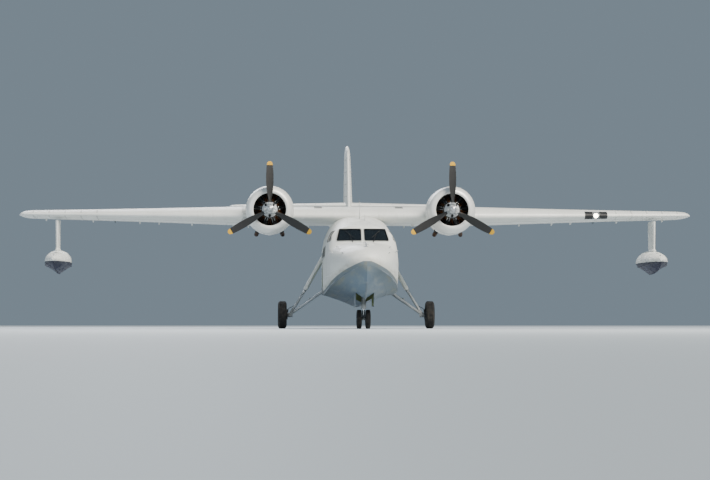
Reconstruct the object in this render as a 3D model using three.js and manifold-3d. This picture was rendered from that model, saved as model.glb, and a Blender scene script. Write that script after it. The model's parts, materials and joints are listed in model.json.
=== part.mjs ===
// Twin-engined amphibious flying boat, parked on its wheels.
// Millimetres. +Z is up, the nose points to -Y and the port wing to +X.
// The origin is on the ground, under the middle of the aircraft.
// A station is the distance aft of the nose tip, so y = station - halfLength.
import * as THREE from "three";
import { mergeVertices } from "three/addons/utils/BufferGeometryUtils.js";
import Module from "manifold-3d";

const wasm = await Module();
wasm.setup();

// Driving dimensions of the whole aircraft
const length = 18490;
const span = 24380;
const height = 7390;
const halfLength = length / 2;
const seam = 0.4; // gap between fixed pieces that meet
const clearance = 12; // gap round the nose of a moving surface
const endGap = 18; // gap at the ends of a moving surface

// Hull
const floorZ = 1650;
const deckZ = 1980; // the cockpit's floor
const sillZ = 2950; // foot of the cockpit windows
const wallTopZ = 3300;
const skin = 100; // thickness of the cabin's walls
const bowEnd = 3000;
const cockpitEnd = 4700;
const cabinEnd = 12100;

// Wing
const wingHinge = { station: 8750, z: 3960 }; // line that the flaps and ailerons hang on
const rootChord = 3800;
const tipChord = 1950;
const rootThickness = 0.17; // share of the chord
const tipThickness = 0.12;
const hingeAt = 0.75; // share of the chord
const incidence = THREE.MathUtils.degToRad(2);
const dihedral = THREE.MathUtils.degToRad(1);
const wingJoint = 4050; // the outer panels start here
const flapInnerStart = 1290;
const flapOuterEnd = 7400;
const aileronEnd = 11700;

// Engines
const engineX = 3180;
const thrustZ = 4150;
const cowlFront = 4300;
const cowlLength = 1180;
const cowlRadius = 840;
const cylinderCount = 9;
const bladeCount = 3;
const propellerStation = 4130;

// Wing floats
const floatX = 10800;

// Undercarriage
const mainWheel = { x: 2700, station: 8350, radius: 510, width: 320, bead: 255, bore: 46, hub: 110 };
const noseWheel = { x: 150, station: 2600, radius: 330, width: 170, bead: 165, bore: 31, hub: 60 };
const wheelSides = 20; // each tyre stands on one of its flats
const wheelWell = { z: 1830, radius: 540, inner: 930 };

const paint = {
  white: { color: 0xe9ebe8, roughness: 0.45, metalness: 0.1 },
  silver: { color: 0xb9bfc2, roughness: 0.4, metalness: 0.6 },
  grey: { color: 0x6f7d86, roughness: 0.55, metalness: 0.1 },
  navy: { color: 0x1d2740, roughness: 0.5, metalness: 0.1 },
  dark: { color: 0x24272b, roughness: 0.6, metalness: 0.3 },
  steel: { color: 0x8b9196, roughness: 0.35, metalness: 0.8 },
  glass: { color: 0x223041, roughness: 0.1, metalness: 0.0 },
  rubber: { color: 0x1b1b1c, roughness: 0.9, metalness: 0.0 },
  cloth: { color: 0x4a4f45, roughness: 0.9, metalness: 0.0 },
};

const at = (station) => station - halfLength;
const lerp = (a, b, t) => a + (b - a) * t;

// Solids

// A closed geometry as a solid. A geometry whose faces point inwards is turned round first.
function solid(geometry) {
  const bare = geometry.clone();
  bare.deleteAttribute("normal");
  bare.deleteAttribute("uv");
  const merged = mergeVertices(bare, 1e-3);
  const index = new Uint32Array(merged.index.array);
  const positions = merged.attributes.position.array;
  const make = () => new wasm.Manifold(new wasm.Mesh({ numProp: 3, vertProperties: positions, triVerts: index }));
  const made = make();
  if (made.volume() >= 0) return made;
  for (let i = 0; i < index.length; i += 3) [index[i + 1], index[i + 2]] = [index[i + 2], index[i + 1]];
  return make();
}

function geometryOf(body) {
  const { vertProperties, triVerts } = body.getMesh();
  const geometry = new THREE.BufferGeometry();
  geometry.setAttribute("position", new THREE.BufferAttribute(new Float32Array(vertProperties), 3));
  geometry.setIndex(new THREE.BufferAttribute(new Uint32Array(triVerts), 1));
  geometry.computeVertexNormals();
  return geometry;
}

const join = (...bodies) => bodies.reduce((a, b) => a.add(b));
const cut = (body, ...tools) => tools.reduce((a, b) => a.subtract(b), body);

// Skins a row of closed rings, each a list of [x, y, z] with the same number of points, and caps both ends.
function loft(rings) {
  const count = rings[0].length;
  const points = rings.flat();
  const index = [];
  rings.slice(1).forEach((_, r) => {
    for (let i = 0; i < count; i++) {
      const j = (i + 1) % count;
      const [a, b, c, d] = [r * count + i, r * count + j, (r + 1) * count + j, (r + 1) * count + i];
      index.push(a, b, c, a, c, d);
    }
  });
  for (const [r, flip] of [[0, true], [rings.length - 1, false]]) {
    const middle = rings[r].reduce((m, p) => m.map((v, k) => v + p[k] / count), [0, 0, 0]);
    const hub = points.push(middle) - 1;
    for (let i = 0; i < count; i++) {
      const [a, b] = [r * count + i, r * count + ((i + 1) % count)];
      index.push(hub, flip ? b : a, flip ? a : b);
    }
  }
  const geometry = new THREE.BufferGeometry();
  geometry.setAttribute("position", new THREE.Float32BufferAttribute(points.flat(), 3));
  geometry.setIndex(index);
  return solid(geometry);
}

function box(x0, x1, y0, y1, z0, z1) {
  const geometry = new THREE.BoxGeometry(x1 - x0, y1 - y0, z1 - z0);
  return solid(geometry.translate((x0 + x1) / 2, (y0 + y1) / 2, (z0 + z1) / 2));
}

// A round bar from one point to another, which may taper.
function tube(from, to, radius, endRadius = radius, sides = 10) {
  const [a, b] = [new THREE.Vector3(...from), new THREE.Vector3(...to)];
  const geometry = new THREE.CylinderGeometry(endRadius, radius, a.distanceTo(b), sides);
  const turn = new THREE.Quaternion().setFromUnitVectors(new THREE.Vector3(0, 1, 0), b.clone().sub(a).normalize());
  return solid(geometry.applyQuaternion(turn).translate(...a.add(b).multiplyScalar(0.5).toArray()));
}

// A profile of [radius, along] spun round the Y axis. It closes on itself or on the axis.
function spin(profile, sides, phase = 0) {
  const points = profile.map(([radius, along]) => new THREE.Vector2(radius, along));
  return new THREE.LatheGeometry(points, sides, phase);
}

// A plan or side outline pushed through a thickness: plane "xy" rises along Z, "yz" runs along X, "xz" along Y.
function prism(outline, from, to, plane) {
  const shape = new THREE.Shape(outline.map(([u, v]) => new THREE.Vector2(u, v)));
  const geometry = new THREE.ExtrudeGeometry(shape, { depth: to - from, bevelEnabled: false });
  geometry.translate(0, 0, from);
  if (plane === "yz") geometry.applyMatrix4(new THREE.Matrix4().set(0, 0, 1, 0, 1, 0, 0, 0, 0, 1, 0, 0, 0, 0, 0, 1));
  if (plane === "xz") geometry.applyMatrix4(new THREE.Matrix4().set(1, 0, 0, 0, 0, 0, 1, 0, 0, 1, 0, 0, 0, 0, 0, 1));
  return solid(geometry);
}

// Cross-sections of boats: the hull and the wing floats

// keel and chine make the vee bottom, side is where the upper curve starts, top is its crown and power its squareness.
const hullRows = [
  { s: 0, keel: 2020, chine: 2110, chineHalf: 100, side: 2170, half: 140, top: 2330, power: 2.0 },
  { s: 200, keel: 1600, chine: 1970, chineHalf: 400, side: 2190, half: 470, top: 2540, power: 2.0 },
  { s: 600, keel: 1290, chine: 1840, chineHalf: 660, side: 2190, half: 740, top: 2700, power: 2.1 },
  { s: 1300, keel: 1060, chine: 1670, chineHalf: 910, side: 2190, half: 980, top: 2830, power: 2.3 },
  { s: 2200, keel: 930, chine: 1500, chineHalf: 1090, side: 2190, half: 1140, top: 2910, power: 2.5 },
  { s: 2950, keel: 870, chine: 1390, chineHalf: 1170, side: 2200, half: 1205, top: 2965, power: 2.7 },
  { s: 3620, keel: 845, chine: 1330, chineHalf: 1205, side: 2250, half: 1225, top: 3560, power: 3.0 },
  { s: 4400, keel: 825, chine: 1290, chineHalf: 1220, side: 2250, half: 1230, top: 3700, power: 3.0 },
  { s: 5300, keel: 815, chine: 1265, chineHalf: 1225, side: 2250, half: 1235, top: 3860, power: 3.0 },
  { s: 6200, keel: 810, chine: 1250, chineHalf: 1225, side: 2250, half: 1235, top: 4000, power: 3.0 },
  { s: 8000, keel: 803, chine: 1245, chineHalf: 1225, side: 2250, half: 1235, top: 4040, power: 3.0 },
  { s: 9400, keel: 800, chine: 1245, chineHalf: 1220, side: 2250, half: 1232, top: 3990, power: 3.0 },
  { s: 9410, keel: 960, chine: 1390, chineHalf: 1205, side: 2250, half: 1230, top: 3990, power: 3.0 },
  { s: 10400, keel: 1060, chine: 1440, chineHalf: 1130, side: 2260, half: 1200, top: 3900, power: 2.9 },
  { s: 11600, keel: 1200, chine: 1530, chineHalf: 960, side: 2300, half: 1120, top: 3780, power: 2.7 },
  { s: 12800, keel: 1370, chine: 1640, chineHalf: 700, side: 2360, half: 1000, top: 3660, power: 2.5 },
  { s: 13900, keel: 1580, chine: 1780, chineHalf: 400, side: 2450, half: 850, top: 3570, power: 2.3 },
  { s: 15200, keel: 1960, chine: 2080, chineHalf: 260, side: 2600, half: 640, top: 3500, power: 2.2 },
  { s: 16600, keel: 2420, chine: 2520, chineHalf: 190, side: 2850, half: 420, top: 3440, power: 2.1 },
  { s: 17800, keel: 2830, chine: 2900, chineHalf: 120, side: 3050, half: 230, top: 3390, power: 2.0 },
  { s: 18490, keel: 3080, chine: 3120, chineHalf: 50, side: 3160, half: 90, top: 3300, power: 2.0 },
];

const floatRows = [
  { s: 5800, keel: 2410, chine: 2440, chineHalf: 30, side: 2470, half: 50, top: 2520, power: 2.0 },
  { s: 6150, keel: 2200, chine: 2370, chineHalf: 220, side: 2440, half: 240, top: 2620, power: 2.0 },
  { s: 6800, keel: 2050, chine: 2290, chineHalf: 370, side: 2400, half: 390, top: 2740, power: 2.1 },
  { s: 7700, keel: 1990, chine: 2250, chineHalf: 430, side: 2380, half: 445, top: 2820, power: 2.2 },
  { s: 8300, keel: 1985, chine: 2250, chineHalf: 430, side: 2380, half: 445, top: 2830, power: 2.2 },
  { s: 8306, keel: 2050, chine: 2280, chineHalf: 425, side: 2380, half: 445, top: 2830, power: 2.2 },
  { s: 9100, keel: 2160, chine: 2330, chineHalf: 310, side: 2400, half: 350, top: 2770, power: 2.1 },
  { s: 9900, keel: 2380, chine: 2420, chineHalf: 60, side: 2450, half: 80, top: 2580, power: 2.0 },
];

// One closed ring of a boat section, drawn in by inset (or out, where inset is negative).
function boatRing(row, centreX, inset) {
  const crownSteps = 6;
  const half = [
    [0, row.keel + inset],
    [row.chineHalf * 0.55, lerp(row.keel, row.chine, 0.61) + inset],
    [row.chineHalf - inset, row.chine + inset],
  ];
  for (let i = 0; i <= crownSteps; i++) {
    const a = (i / crownSteps) * (Math.PI / 2);
    const across = i === crownSteps ? 0 : Math.cos(a) ** (2 / row.power);
    half.push([(row.half - inset) * across, row.side + (row.top - inset - row.side) * Math.sin(a) ** (2 / row.power)]);
  }
  const mirrored = half.slice(1, -1).reverse().map(([x, z]) => [-x, z]);
  return [...half, ...mirrored].map(([x, z]) => [centreX + x, at(row.s), z]);
}

const boat = (rows, centreX = 0, inset = 0) => loft(rows.map((row) => boatRing(row, centreX, inset)));

// The hull's inside at a depth below its skin, between two stations and above a level.
function insideHull(inset, from, to, level = 0) {
  return boat(hullRows.slice(2, -2), 0, inset).intersect(box(-2000, 2000, at(from), at(to), level, 5000));
}

// Aerofoils: the wing, the tailplane and the fin

const halfThickness = (t, x) =>
  5 * t * (0.2969 * Math.sqrt(x) - 0.126 * x - 0.3516 * x ** 2 + 0.2843 * x ** 3 - 0.1015 * x ** 4);

function camberLine(x, camber) {
  const peak = 0.3;
  if (x < peak) return (camber / peak ** 2) * (2 * peak * x - x * x);
  return (camber / (1 - peak) ** 2) * (1 - 2 * peak + 2 * peak * x - x * x);
}

const noseSteps = [0.016, 0.06, 0.15, 0.3, 0.5, 0.75, 1];

// One section measured from its hinge line: along is aft of the hinge and up is above it.
// part is "fixed" (nose to hinge), "moving" (hinge to tail) or "whole".
// A fixed part ends clear of the moving part's round nose, and grow thickens a fixed part that cuts its neighbours.
function section({ fore, aft, t, camber = 0, tilt = 0, grow = 0 }, part) {
  const chord = fore + aft;
  const hinge = fore / chord;
  const radius = halfThickness(t, hinge) * chord;
  const point = (x, sign) => {
    const middle = (camberLine(x, camber) - camberLine(hinge, camber)) * chord;
    return [x * chord - fore, middle + sign * (halfThickness(t, x) * chord + grow)];
  };
  const points = [];
  if (part === "moving") {
    const arcSteps = 6;
    for (let i = 0; i <= arcSteps; i++) {
      const a = Math.PI / 2 + (i / arcSteps) * Math.PI;
      points.push([Math.cos(a) * radius, Math.sin(a) * radius]);
    }
    points.push(point(lerp(hinge, 1, 0.5), -1), point(1, -1), point(1, 1), point(lerp(hinge, 1, 0.5), 1));
  } else {
    const last = part === "whole" ? 1 : (fore - radius - clearance + grow) / chord;
    const steps = noseSteps.map((x) => x * last);
    points.push(...steps.toReversed().map((x) => point(x, 1)));
    points.push([-fore - grow, point(0, 0)[1]]);
    points.push(...steps.map((x) => point(x, -1)));
  }
  return points.map(([along, up]) => [along, up - along * Math.sin(tilt)]);
}

// The wing's section at a distance out from the centre line, with its hinge line's height.
function wingSection(out, part, grow = 0) {
  const t = Math.max(0, out - wingJoint) / (span / 2 - wingJoint);
  const chord = lerp(rootChord, tipChord, t);
  return section({
    fore: chord * hingeAt,
    aft: chord * (1 - hingeAt),
    t: lerp(rootThickness, tipThickness, t),
    camber: 0.025,
    tilt: incidence,
    grow,
  }, part);
}

const wingHingeZ = (out) => wingHinge.z + Math.max(0, out - wingJoint) * Math.tan(dihedral);

// One ring of the wing. scale shrinks the section about 40% of its chord, to round off the tip.
function wingRing(side, out, part, { grow = 0, scale = 1, thin = 1 } = {}) {
  const points = wingSection(out, part, grow);
  const [first, last] = [Math.min(...points.map((p) => p[0])), Math.max(...points.map((p) => p[0]))];
  const centre = lerp(first, last, 0.45);
  return points.map(([along, up]) => [
    side * out,
    at(wingHinge.station) + centre + (along - centre) * scale,
    wingHingeZ(out) + up * thin,
  ]);
}

const wingStretch = (side, from, to, part, options) =>
  loft([from, to].map((out) => wingRing(side, out, part, options)));

const tipRounding = [
  { back: 480, scale: 1, thin: 1 },
  { back: 220, scale: 0.96, thin: 0.86 },
  { back: 70, scale: 0.84, thin: 0.55 },
  { back: 0, scale: 0.66, thin: 0.2 },
];

function wingTip(side) {
  return loft(tipRounding.map(({ back, scale, thin }) => wingRing(side, span / 2 - back, "whole", { scale, thin })));
}

// The centre section runs straight through the cabin's roof, over both nacelles.
function wingCentre(grow = 0) {
  const body = wingStretch(1, -wingJoint, wingJoint, "fixed", { grow });
  const tail = flapInnerStart - endGap;
  return join(body, wingStretch(1, -tail, tail, "whole", { grow }));
}

const jackPad = { x: 2000, station: 7000, radius: 70, faceZ: 3690 };

function wingCentrePiece() {
  const pads = [-1, 1].map((side) => {
    const foot = [side * jackPad.x, at(jackPad.station)];
    return tube([...foot, jackPad.faceZ], [...foot, jackPad.faceZ + 150], jackPad.radius, jackPad.radius, 12);
  });
  return join(wingCentre(), ...pads);
}

const landingLight = { from: 8480, to: 8720, depth: 190 };

// The block of the port wing's nose that the landing light sits behind.
function lightBlock(gap) {
  const { from, to, depth } = landingLight;
  const nose = Math.min(...wingSection(from, "fixed").map((p) => p[0]));
  const front = at(wingHinge.station) + nose;
  return box(from + gap, to - gap, front - 100, front + depth - gap, 3000, 5000);
}

function outerWing(side, grow = 0) {
  const body = wingStretch(side, wingJoint + seam, span / 2 - tipRounding[0].back + 5, "fixed", { grow });
  return join(body, wingTip(side));
}

// Hull pieces

const wholeHull = boat(hullRows);
const hullTool = boat(hullRows, 0, -seam);
const cabinSpace = insideHull(skin, bowEnd - 10, cabinEnd + 10, floorZ);
const tailSpace = insideHull(skin, cabinEnd - 10, 16500);
const hullShell = cut(wholeHull, cabinSpace);
const wingTool = wingCentre(seam);

const slab = (from, to, z0, z1, x0 = -2000, x1 = 2000) =>
  box(x0, x1, at(from) + seam / 2, at(to) - seam / 2, z0 + seam / 2, z1 - seam / 2);

const noseBay = { half: 320, from: 1650, to: 2900, top: 1700 };

function bowPiece() {
  const bay = box(-noseBay.half, noseBay.half, at(noseBay.from), at(noseBay.to), 0, noseBay.top);
  const panel = insideHull(skin + seam, bowEnd - 20, 3330, 2450).intersect(slab(0, length, 0, sillZ));
  return join(cut(wholeHull.intersect(slab(-100, bowEnd, 0, 5000)), bay), panel);
}

const wells = [-1, 1].map((side) =>
  tube(
    [side * wheelWell.inner, at(mainWheel.station), wheelWell.z],
    [side * 1400, at(mainWheel.station), wheelWell.z],
    wheelWell.radius, wheelWell.radius, 24,
  ),
);

function bottomPiece() {
  const deck = insideHull(skin + seam, bowEnd + seam, cockpitEnd - 50, floorZ - 10).intersect(slab(0, length, 0, deckZ));
  return join(cut(hullShell.intersect(slab(bowEnd, cabinEnd, 0, floorZ)), ...wells), deck);
}

// Plan outline of the cabin door. Its aft edge is slanted, so that the door swings out freely.
const door = { front: 10300, back: 11200, bottom: 1700, top: 3200, hingeX: 1215, slant: 0.3 };

function doorPrism(gap) {
  const [inner, outer] = [800, 1400];
  const aft = (x) => at(door.back) + (x - door.hingeX) * door.slant - gap;
  const outline = [
    [inner, at(door.front) + gap],
    [outer, at(door.front) + gap],
    [outer, aft(outer)],
    [inner, aft(inner)],
  ];
  return prism(outline, door.bottom + gap, door.top - gap, "xy");
}

function wallPiece(side) {
  const [x0, x1] = side > 0 ? [0, 2000] : [-2000, 0];
  const fore = slab(bowEnd, cockpitEnd + seam, floorZ, sillZ, x0, x1);
  const aft = slab(cockpitEnd, cabinEnd, floorZ, wallTopZ, x0, x1);
  const wellBox = box(
    side > 0 ? 830 : -1180, side > 0 ? 1180 : -830,
    at(mainWheel.station - 640), at(mainWheel.station + 640), floorZ + seam, 2470,
  );
  const wall = cut(join(hullShell.intersect(join(fore, aft)), wellBox), ...wells);
  const stations = side > 0 ? cabinWindowsAt.left : cabinWindowsAt.right;
  const glazed = cut(wall, ...stations.map((station) => cabinWindowPrism(side, station, 0)));
  return side > 0 ? cut(glazed, doorPrism(0)) : glazed;
}

// Windshield panes as seen from ahead, and side windows as seen from the side
const paneOutline = [[48, 3000], [900, 3000], [790, 3430], [48, 3430]];
const sideOutline = [[3400, 3010], [4560, 3010], [4560, 3380], [3880, 3380]];
const glassDepth = { outer: 20, inner: 34 };

// The window's outline, shrunk about its middle.
function shrunk(outline, scale) {
  const middle = [0, 1].map((k) => outline.reduce((sum, p) => sum + p[k], 0) / outline.length);
  return outline.map((p) => p.map((v, k) => lerp(middle[k], v, scale)));
}

function windowPrism(name, side, scale) {
  if (name === "windshield") {
    const outline = shrunk(paneOutline, scale).map(([x, z]) => [side * x, z]);
    return prism(outline, at(2900), at(3900), "xz");
  }
  const outline = shrunk(sideOutline, scale).map(([s, z]) => [at(s), z]);
  return prism(outline, side > 0 ? 700 : -1400, side > 0 ? 1400 : -700, "yz");
}

// Cabin windows: the stations of their middles on each wall. The port wall has the door in place of the last.
const cabinWindow = { z: 2720, high: 360, long: 460, corner: 90 };
const cabinWindowsAt = { left: [5350, 6350, 7350, 9600], right: [5350, 6350, 7350, 9600, 10750] };
const doorWindowAt = 10720;

function cabinWindowPrism(side, station, gap) {
  const { z, high, long, corner } = cabinWindow;
  const [u, v] = [long / 2 - gap, high / 2 - gap];
  const eighth = [[u - corner, v], [-u + corner, v], [-u, v - corner], [-u, -v + corner]];
  const round = [...eighth, ...eighth.map(([a, b]) => [-a, -b])];
  const outline = round.map(([a, b]) => [at(station) + a, z + b]);
  return prism(outline, side > 0 ? 700 : -1400, side > 0 ? 1400 : -700, "yz");
}

// The panes of one wall, on the trim rail inside that carries them
function cabinGlazing(side, stations) {
  const between = (outer, inner) => cut(insideHull(outer, 4800, 11400), insideHull(inner, 4700, 11500));
  const first = at(stations[0]) - cabinWindow.long / 2 - 60;
  const last = at(stations.at(-1)) + cabinWindow.long / 2 + 60;
  const half = box(side > 0 ? 0 : -2000, side > 0 ? 2000 : 0, first, last, 2490, 2950);
  const panes = stations.map((station) => cabinWindowPrism(side, station, 2));
  const plugs = between(glassDepth.outer, skin + 12).intersect(join(...panes));
  return join(plugs, between(skin + 0.6, skin + 12).intersect(half));
}

const windows = ["windshield", "side_window"];
const allWindows = windows.flatMap((name) => [-1, 1].map((side) => windowPrism(name, side, 1)));
const glassSheet = (from, to) => cut(
  insideHull(glassDepth.outer, from, to),
  insideHull(glassDepth.inner, from - 100, to + 100),
);
const glassPane = (name, side) => glassSheet(2900, cockpitEnd).intersect(windowPrism(name, side, 0.99));

const canopyPiece = () =>
  cut(hullShell.intersect(slab(bowEnd, cockpitEnd, sillZ, 5000)), ...allWindows);
const roofPiece = () =>
  cut(hullShell.intersect(slab(cockpitEnd, cabinEnd, wallTopZ, 5000)), wingTool);
const tailConePiece = () =>
  cut(wholeHull.intersect(slab(cabinEnd, length + 100, 0, 5000)), tailSpace);
const bulkheadPiece = () => insideHull(skin + seam, cabinEnd + 10, cabinEnd + 40);

function seatPiece(side) {
  const x = side * 520;
  return join(
    box(x - 200, x + 200, at(3760), at(4140), deckZ + seam, 2350),
    box(x - 250, x + 250, at(3700), at(4220), 2330, 2460),
    box(x - 240, x + 240, at(4140), at(4270), 2400, 3120),
  );
}

// Tail

const finHinge = 17000;
const finRows = [
  { z: 3250, lead: 14150, trail: 18230, t: 0.105 },
  { z: 6890, lead: 15700, trail: 18050, t: 0.1 },
];
const finCap = [
  { z: 6885, lead: 15700, trail: 18050, t: 0.1 },
  { z: 7150, lead: 15880, trail: 17990, t: 0.09 },
  { z: 7320, lead: 16220, trail: 17800, t: 0.07 },
  { z: height, lead: 16650, trail: 17450, t: 0.03 },
];
const rudderSpan = { bottom: 3480, top: 6870 };

function finRing(row, part, grow = 0) {
  const points = section({ fore: finHinge - row.lead, aft: row.trail - finHinge, t: row.t, grow }, part);
  return points.map(([along, across]) => [across, at(finHinge) + along, row.z]);
}

function finRowAt(z) {
  const [a, b] = finRows;
  const t = (z - a.z) / (b.z - a.z);
  return { z, lead: lerp(a.lead, b.lead, t), trail: lerp(a.trail, b.trail, t), t: lerp(a.t, b.t, t) };
}

const tailHinge = { station: 16500, z: 4880 };
const tailRows = [
  { x: 0, lead: 14970, trail: 17320, t: 0.12 },
  { x: 4725, lead: 15620, trail: 16970, t: 0.1 },
];
const elevatorSpan = { inner: 300, outer: 4420 };
const tailTip = [
  { back: 290, scale: 1, thin: 1 },
  { back: 90, scale: 0.92, thin: 0.8 },
  { back: 0, scale: 0.75, thin: 0.3 },
];

function tailRing(x, part, { grow = 0, scale = 1, thin = 1 } = {}) {
  const [a, b] = tailRows;
  const t = Math.abs(x) / b.x;
  const shape = {
    fore: tailHinge.station - lerp(a.lead, b.lead, t),
    aft: lerp(a.trail, b.trail, t) - tailHinge.station,
    t: lerp(a.t, b.t, t),
    grow,
  };
  return section(shape, part).map(([along, up]) => [
    x,
    at(tailHinge.station) + along * scale,
    tailHinge.z + up * thin,
  ]);
}

function tailplane(grow = 0) {
  const tip = tailRows[1].x;
  const halves = [-1, 1].flatMap((side) => [
    loft([-10, tip - tailTip[0].back + 5].map((x) => tailRing(side * x, "fixed", { grow }))),
    loft(tailTip.map(({ back, scale, thin }) => tailRing(side * (tip - back), "whole", { scale, thin }))),
  ]);
  return join(...halves);
}

// The dorsal fillet that leads from the hull's back up to the fin.
const dorsal = [[12300, 3560], [14500, 3400], [15000, 5000], [14400, 4250], [13600, 3880]];

function finPiece() {
  const blade = loft(finRows.map((row) => finRing(row, "fixed")));
  const cap = loft(finCap.map((row) => finRing(row, "whole")));
  const fillet = prism(dorsal.map(([s, z]) => [at(s), z]), -45, 45, "yz");
  return cut(join(blade, cap, fillet), hullTool, tailplane(seam));
}

const rudderPiece = () =>
  loft([rudderSpan.bottom, rudderSpan.top].map((z) => finRing(finRowAt(z), "moving")));
const elevatorPiece = (side) =>
  loft([elevatorSpan.inner, elevatorSpan.outer].map((x) => tailRing(side * x, "moving")));

// Engines

// Outline of a nacelle: half is its half width, and it fairs into the wing above and below.
const nacelleRows = [
  { s: 5420, half: 700, top: 4850, bottom: 3450 },
  { s: 5900, half: 735, top: 4880, bottom: 3400 },
  { s: 6700, half: 690, top: 4800, bottom: 3380 },
  { s: 7500, half: 520, top: 4600, bottom: 3450 },
  { s: 8150, half: 280, top: 4340, bottom: 3600 },
  { s: 8500, half: 100, top: 4090, bottom: 3760 },
];

function nacellePiece(side) {
  const sides = 20;
  const rings = nacelleRows.map(({ s, half, top, bottom }) =>
    Array.from({ length: sides }, (_, i) => {
      const a = (i / sides) * 2 * Math.PI;
      const round = (v) => Math.sign(v) * Math.abs(v) ** 0.92;
      return [
        side * engineX + half * round(Math.cos(a)),
        at(s),
        (top + bottom) / 2 + ((top - bottom) / 2) * round(Math.sin(a)),
      ];
    }),
  );
  const stacks = [-1, 1].map((way) =>
    tube(
      [side * engineX + way * 380, at(5700), 3560],
      [side * engineX + way * 470, at(6350), 3350],
      75, 75, 10,
    ),
  );
  return cut(join(loft(rings), ...stacks), wingTool);
}

// Section of the cowl from its inner rear edge round the lip to its outer rear edge: [radius, aft of the lip]
const cowlProfile = [
  [785, cowlLength], [800, 700], [790, 240], [700, 110], [568, 60],
  [584, 12], [620, 0], [700, 34], [785, 140], [cowlRadius, 440], [812, cowlLength],
];

function cowlPiece(side) {
  const ring = solid(spin([...cowlProfile, cowlProfile[0]], 24).translate(0, at(cowlFront), 0));
  const brackets = Array.from({ length: 6 }, (_, i) => {
    const a = ((i + 0.5) / 6) * 2 * Math.PI;
    const reach = (r) => [Math.cos(a) * r, at(cowlFront + cowlLength - 30), Math.sin(a) * r];
    return tube(reach(715), reach(800), 18, 18, 6);
  });
  return join(ring, ...brackets).translate([side * engineX, 0, thrustZ]);
}

// Nose case, crankcase and rear case, and one cylinder, as [radius, along]
const caseProfile = [
  [0, 4250], [110, 4250], [170, 4330], [215, 4440], [290, 4520], [300, 4980], [380, 5040], [380, 5419], [0, 5419],
];
const cylinderProfile = [[0, 250], [100, 250], [100, 470], [132, 482], [132, 640], [90, 700], [0, 700]];
const cylinderStation = 4750;

function enginePiece(side) {
  const crankcase = solid(spin(caseProfile.map(([r, s]) => [r, at(s)]), 14));
  const cylinders = Array.from({ length: cylinderCount }, (_, i) => {
    const a = (i / cylinderCount) * 2 * Math.PI;
    return solid(spin(cylinderProfile, 6).rotateX(Math.PI / 2).translate(0, at(cylinderStation), 0).rotateY(a));
  });
  return join(crankcase, ...cylinders).translate([side * engineX, 0, thrustZ]);
}

// One blade: radius from the hub, chord, thickness and the blade's angle to its plane of rotation
const bladeRows = [
  { r: 90, chord: 120, thick: 115, angle: 50 },
  { r: 330, chord: 150, thick: 90, angle: 48 },
  { r: 650, chord: 280, thick: 48, angle: 38 },
  { r: 1100, chord: 300, thick: 28, angle: 28 },
  { r: 1500, chord: 235, thick: 16, angle: 21 },
  { r: 1660, chord: 120, thick: 9, angle: 19 },
];
const hubProfile = [[0, -290], [55, -282], [95, -240], [105, -110], [150, -80], [160, 60], [110, 85], [100, 112], [0, 112]];

function bladeSolid() {
  const around = 6;
  return loft(bladeRows.map(({ r, chord, thick, angle }) => {
    const turn = THREE.MathUtils.degToRad(angle);
    return Array.from({ length: around }, (_, i) => {
      const a = (i / around) * 2 * Math.PI;
      const [u, v] = [(chord / 2) * Math.cos(a), (thick / 2) * Math.sin(a)];
      return [u * Math.cos(turn) - v * Math.sin(turn), u * Math.sin(turn) + v * Math.cos(turn), r];
    });
  }));
}

function propellerPiece(side) {
  const blades = Array.from({ length: bladeCount }, (_, i) => bladeSolid().rotate([0, (i * 360) / bladeCount, 0]));
  const whole = join(solid(spin(hubProfile, 12)), ...blades);
  return whole.translate([side * engineX, at(propellerStation), thrustZ]);
}

// Wing floats

const pylonRows = [
  { z: 2650, lead: 7250, chord: 1150, thick: 130 },
  { z: 4085, lead: 7170, chord: 1350, thick: 170 },
];

function pylonPiece(side) {
  const blade = loft(pylonRows.map(({ z, lead, chord, thick }) =>
    section({ fore: chord * 0.75, aft: chord * 0.25, t: thick / chord }, "whole").map(([along, across]) => [
      side * floatX + across,
      at(lead + chord * 0.75) + along,
      z,
    ]),
  ));
  return cut(blade, boat(floatRows, side * floatX, -seam), outerWing(side, seam));
}

// Undercarriage

const flatRadius = (radius) => radius * Math.cos(Math.PI / wheelSides);
const wheelPhase = Math.PI / wheelSides;

function tyreSolid({ radius, width, bead }) {
  const [h, deep] = [width / 2, radius - bead];
  const half = [[bead, h * 0.74], [bead + deep * 0.35, h], [bead + deep * 0.78, h * 0.96], [radius, h * 0.6]];
  const outline = [...half, ...half.toReversed().map(([r, x]) => [r, -x]), half[0]];
  return solid(spin(outline, wheelSides, wheelPhase).rotateZ(Math.PI / 2));
}

function rimSolid({ bead, bore, hub, width }) {
  const edge = bead - seam;
  const h = width / 2;
  const half = [[bore, hub], [bore * 2, hub], [bore * 2.1, 36], [edge * 0.82, 28], [edge, h * 0.7]];
  const outline = [...half, ...half.toReversed().map(([r, x]) => [r, -x]), half[0]];
  return solid(spin(outline, wheelSides, wheelPhase).rotateZ(Math.PI / 2));
}

function mainLegPiece(side) {
  const { x, station } = mainWheel;
  const y = at(station);
  const z = flatRadius(mainWheel.radius);
  const spot = (px, dy, pz) => [side * px, y + dy, pz];
  const body = join(
    tube(spot(2400, 0, z), spot(x + 122, 0, z), 44, 44, 12),
    tube(spot(x + 114, 0, z), spot(x + 140, 0, z), 62, 62, 12),
    tube(spot(2320, 0, z), spot(2500, 0, z), 88, 88, 12),
    tube(spot(2400, 0, z + 30), spot(1840, 0, 1460), 52, 52, 12),
    tube(spot(1880, 0, 1400), spot(1150, 0, 2720), 84, 84, 12),
    tube(spot(2420, 0, z + 10), spot(1120, -520, 1430), 48),
    tube(spot(2420, 0, z + 10), spot(1120, 520, 1430), 48),
    tube(spot(1700, -270, 1060), spot(1700, 270, 1060), 30, 30, 8),
  );
  return cut(body, hullTool);
}

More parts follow.
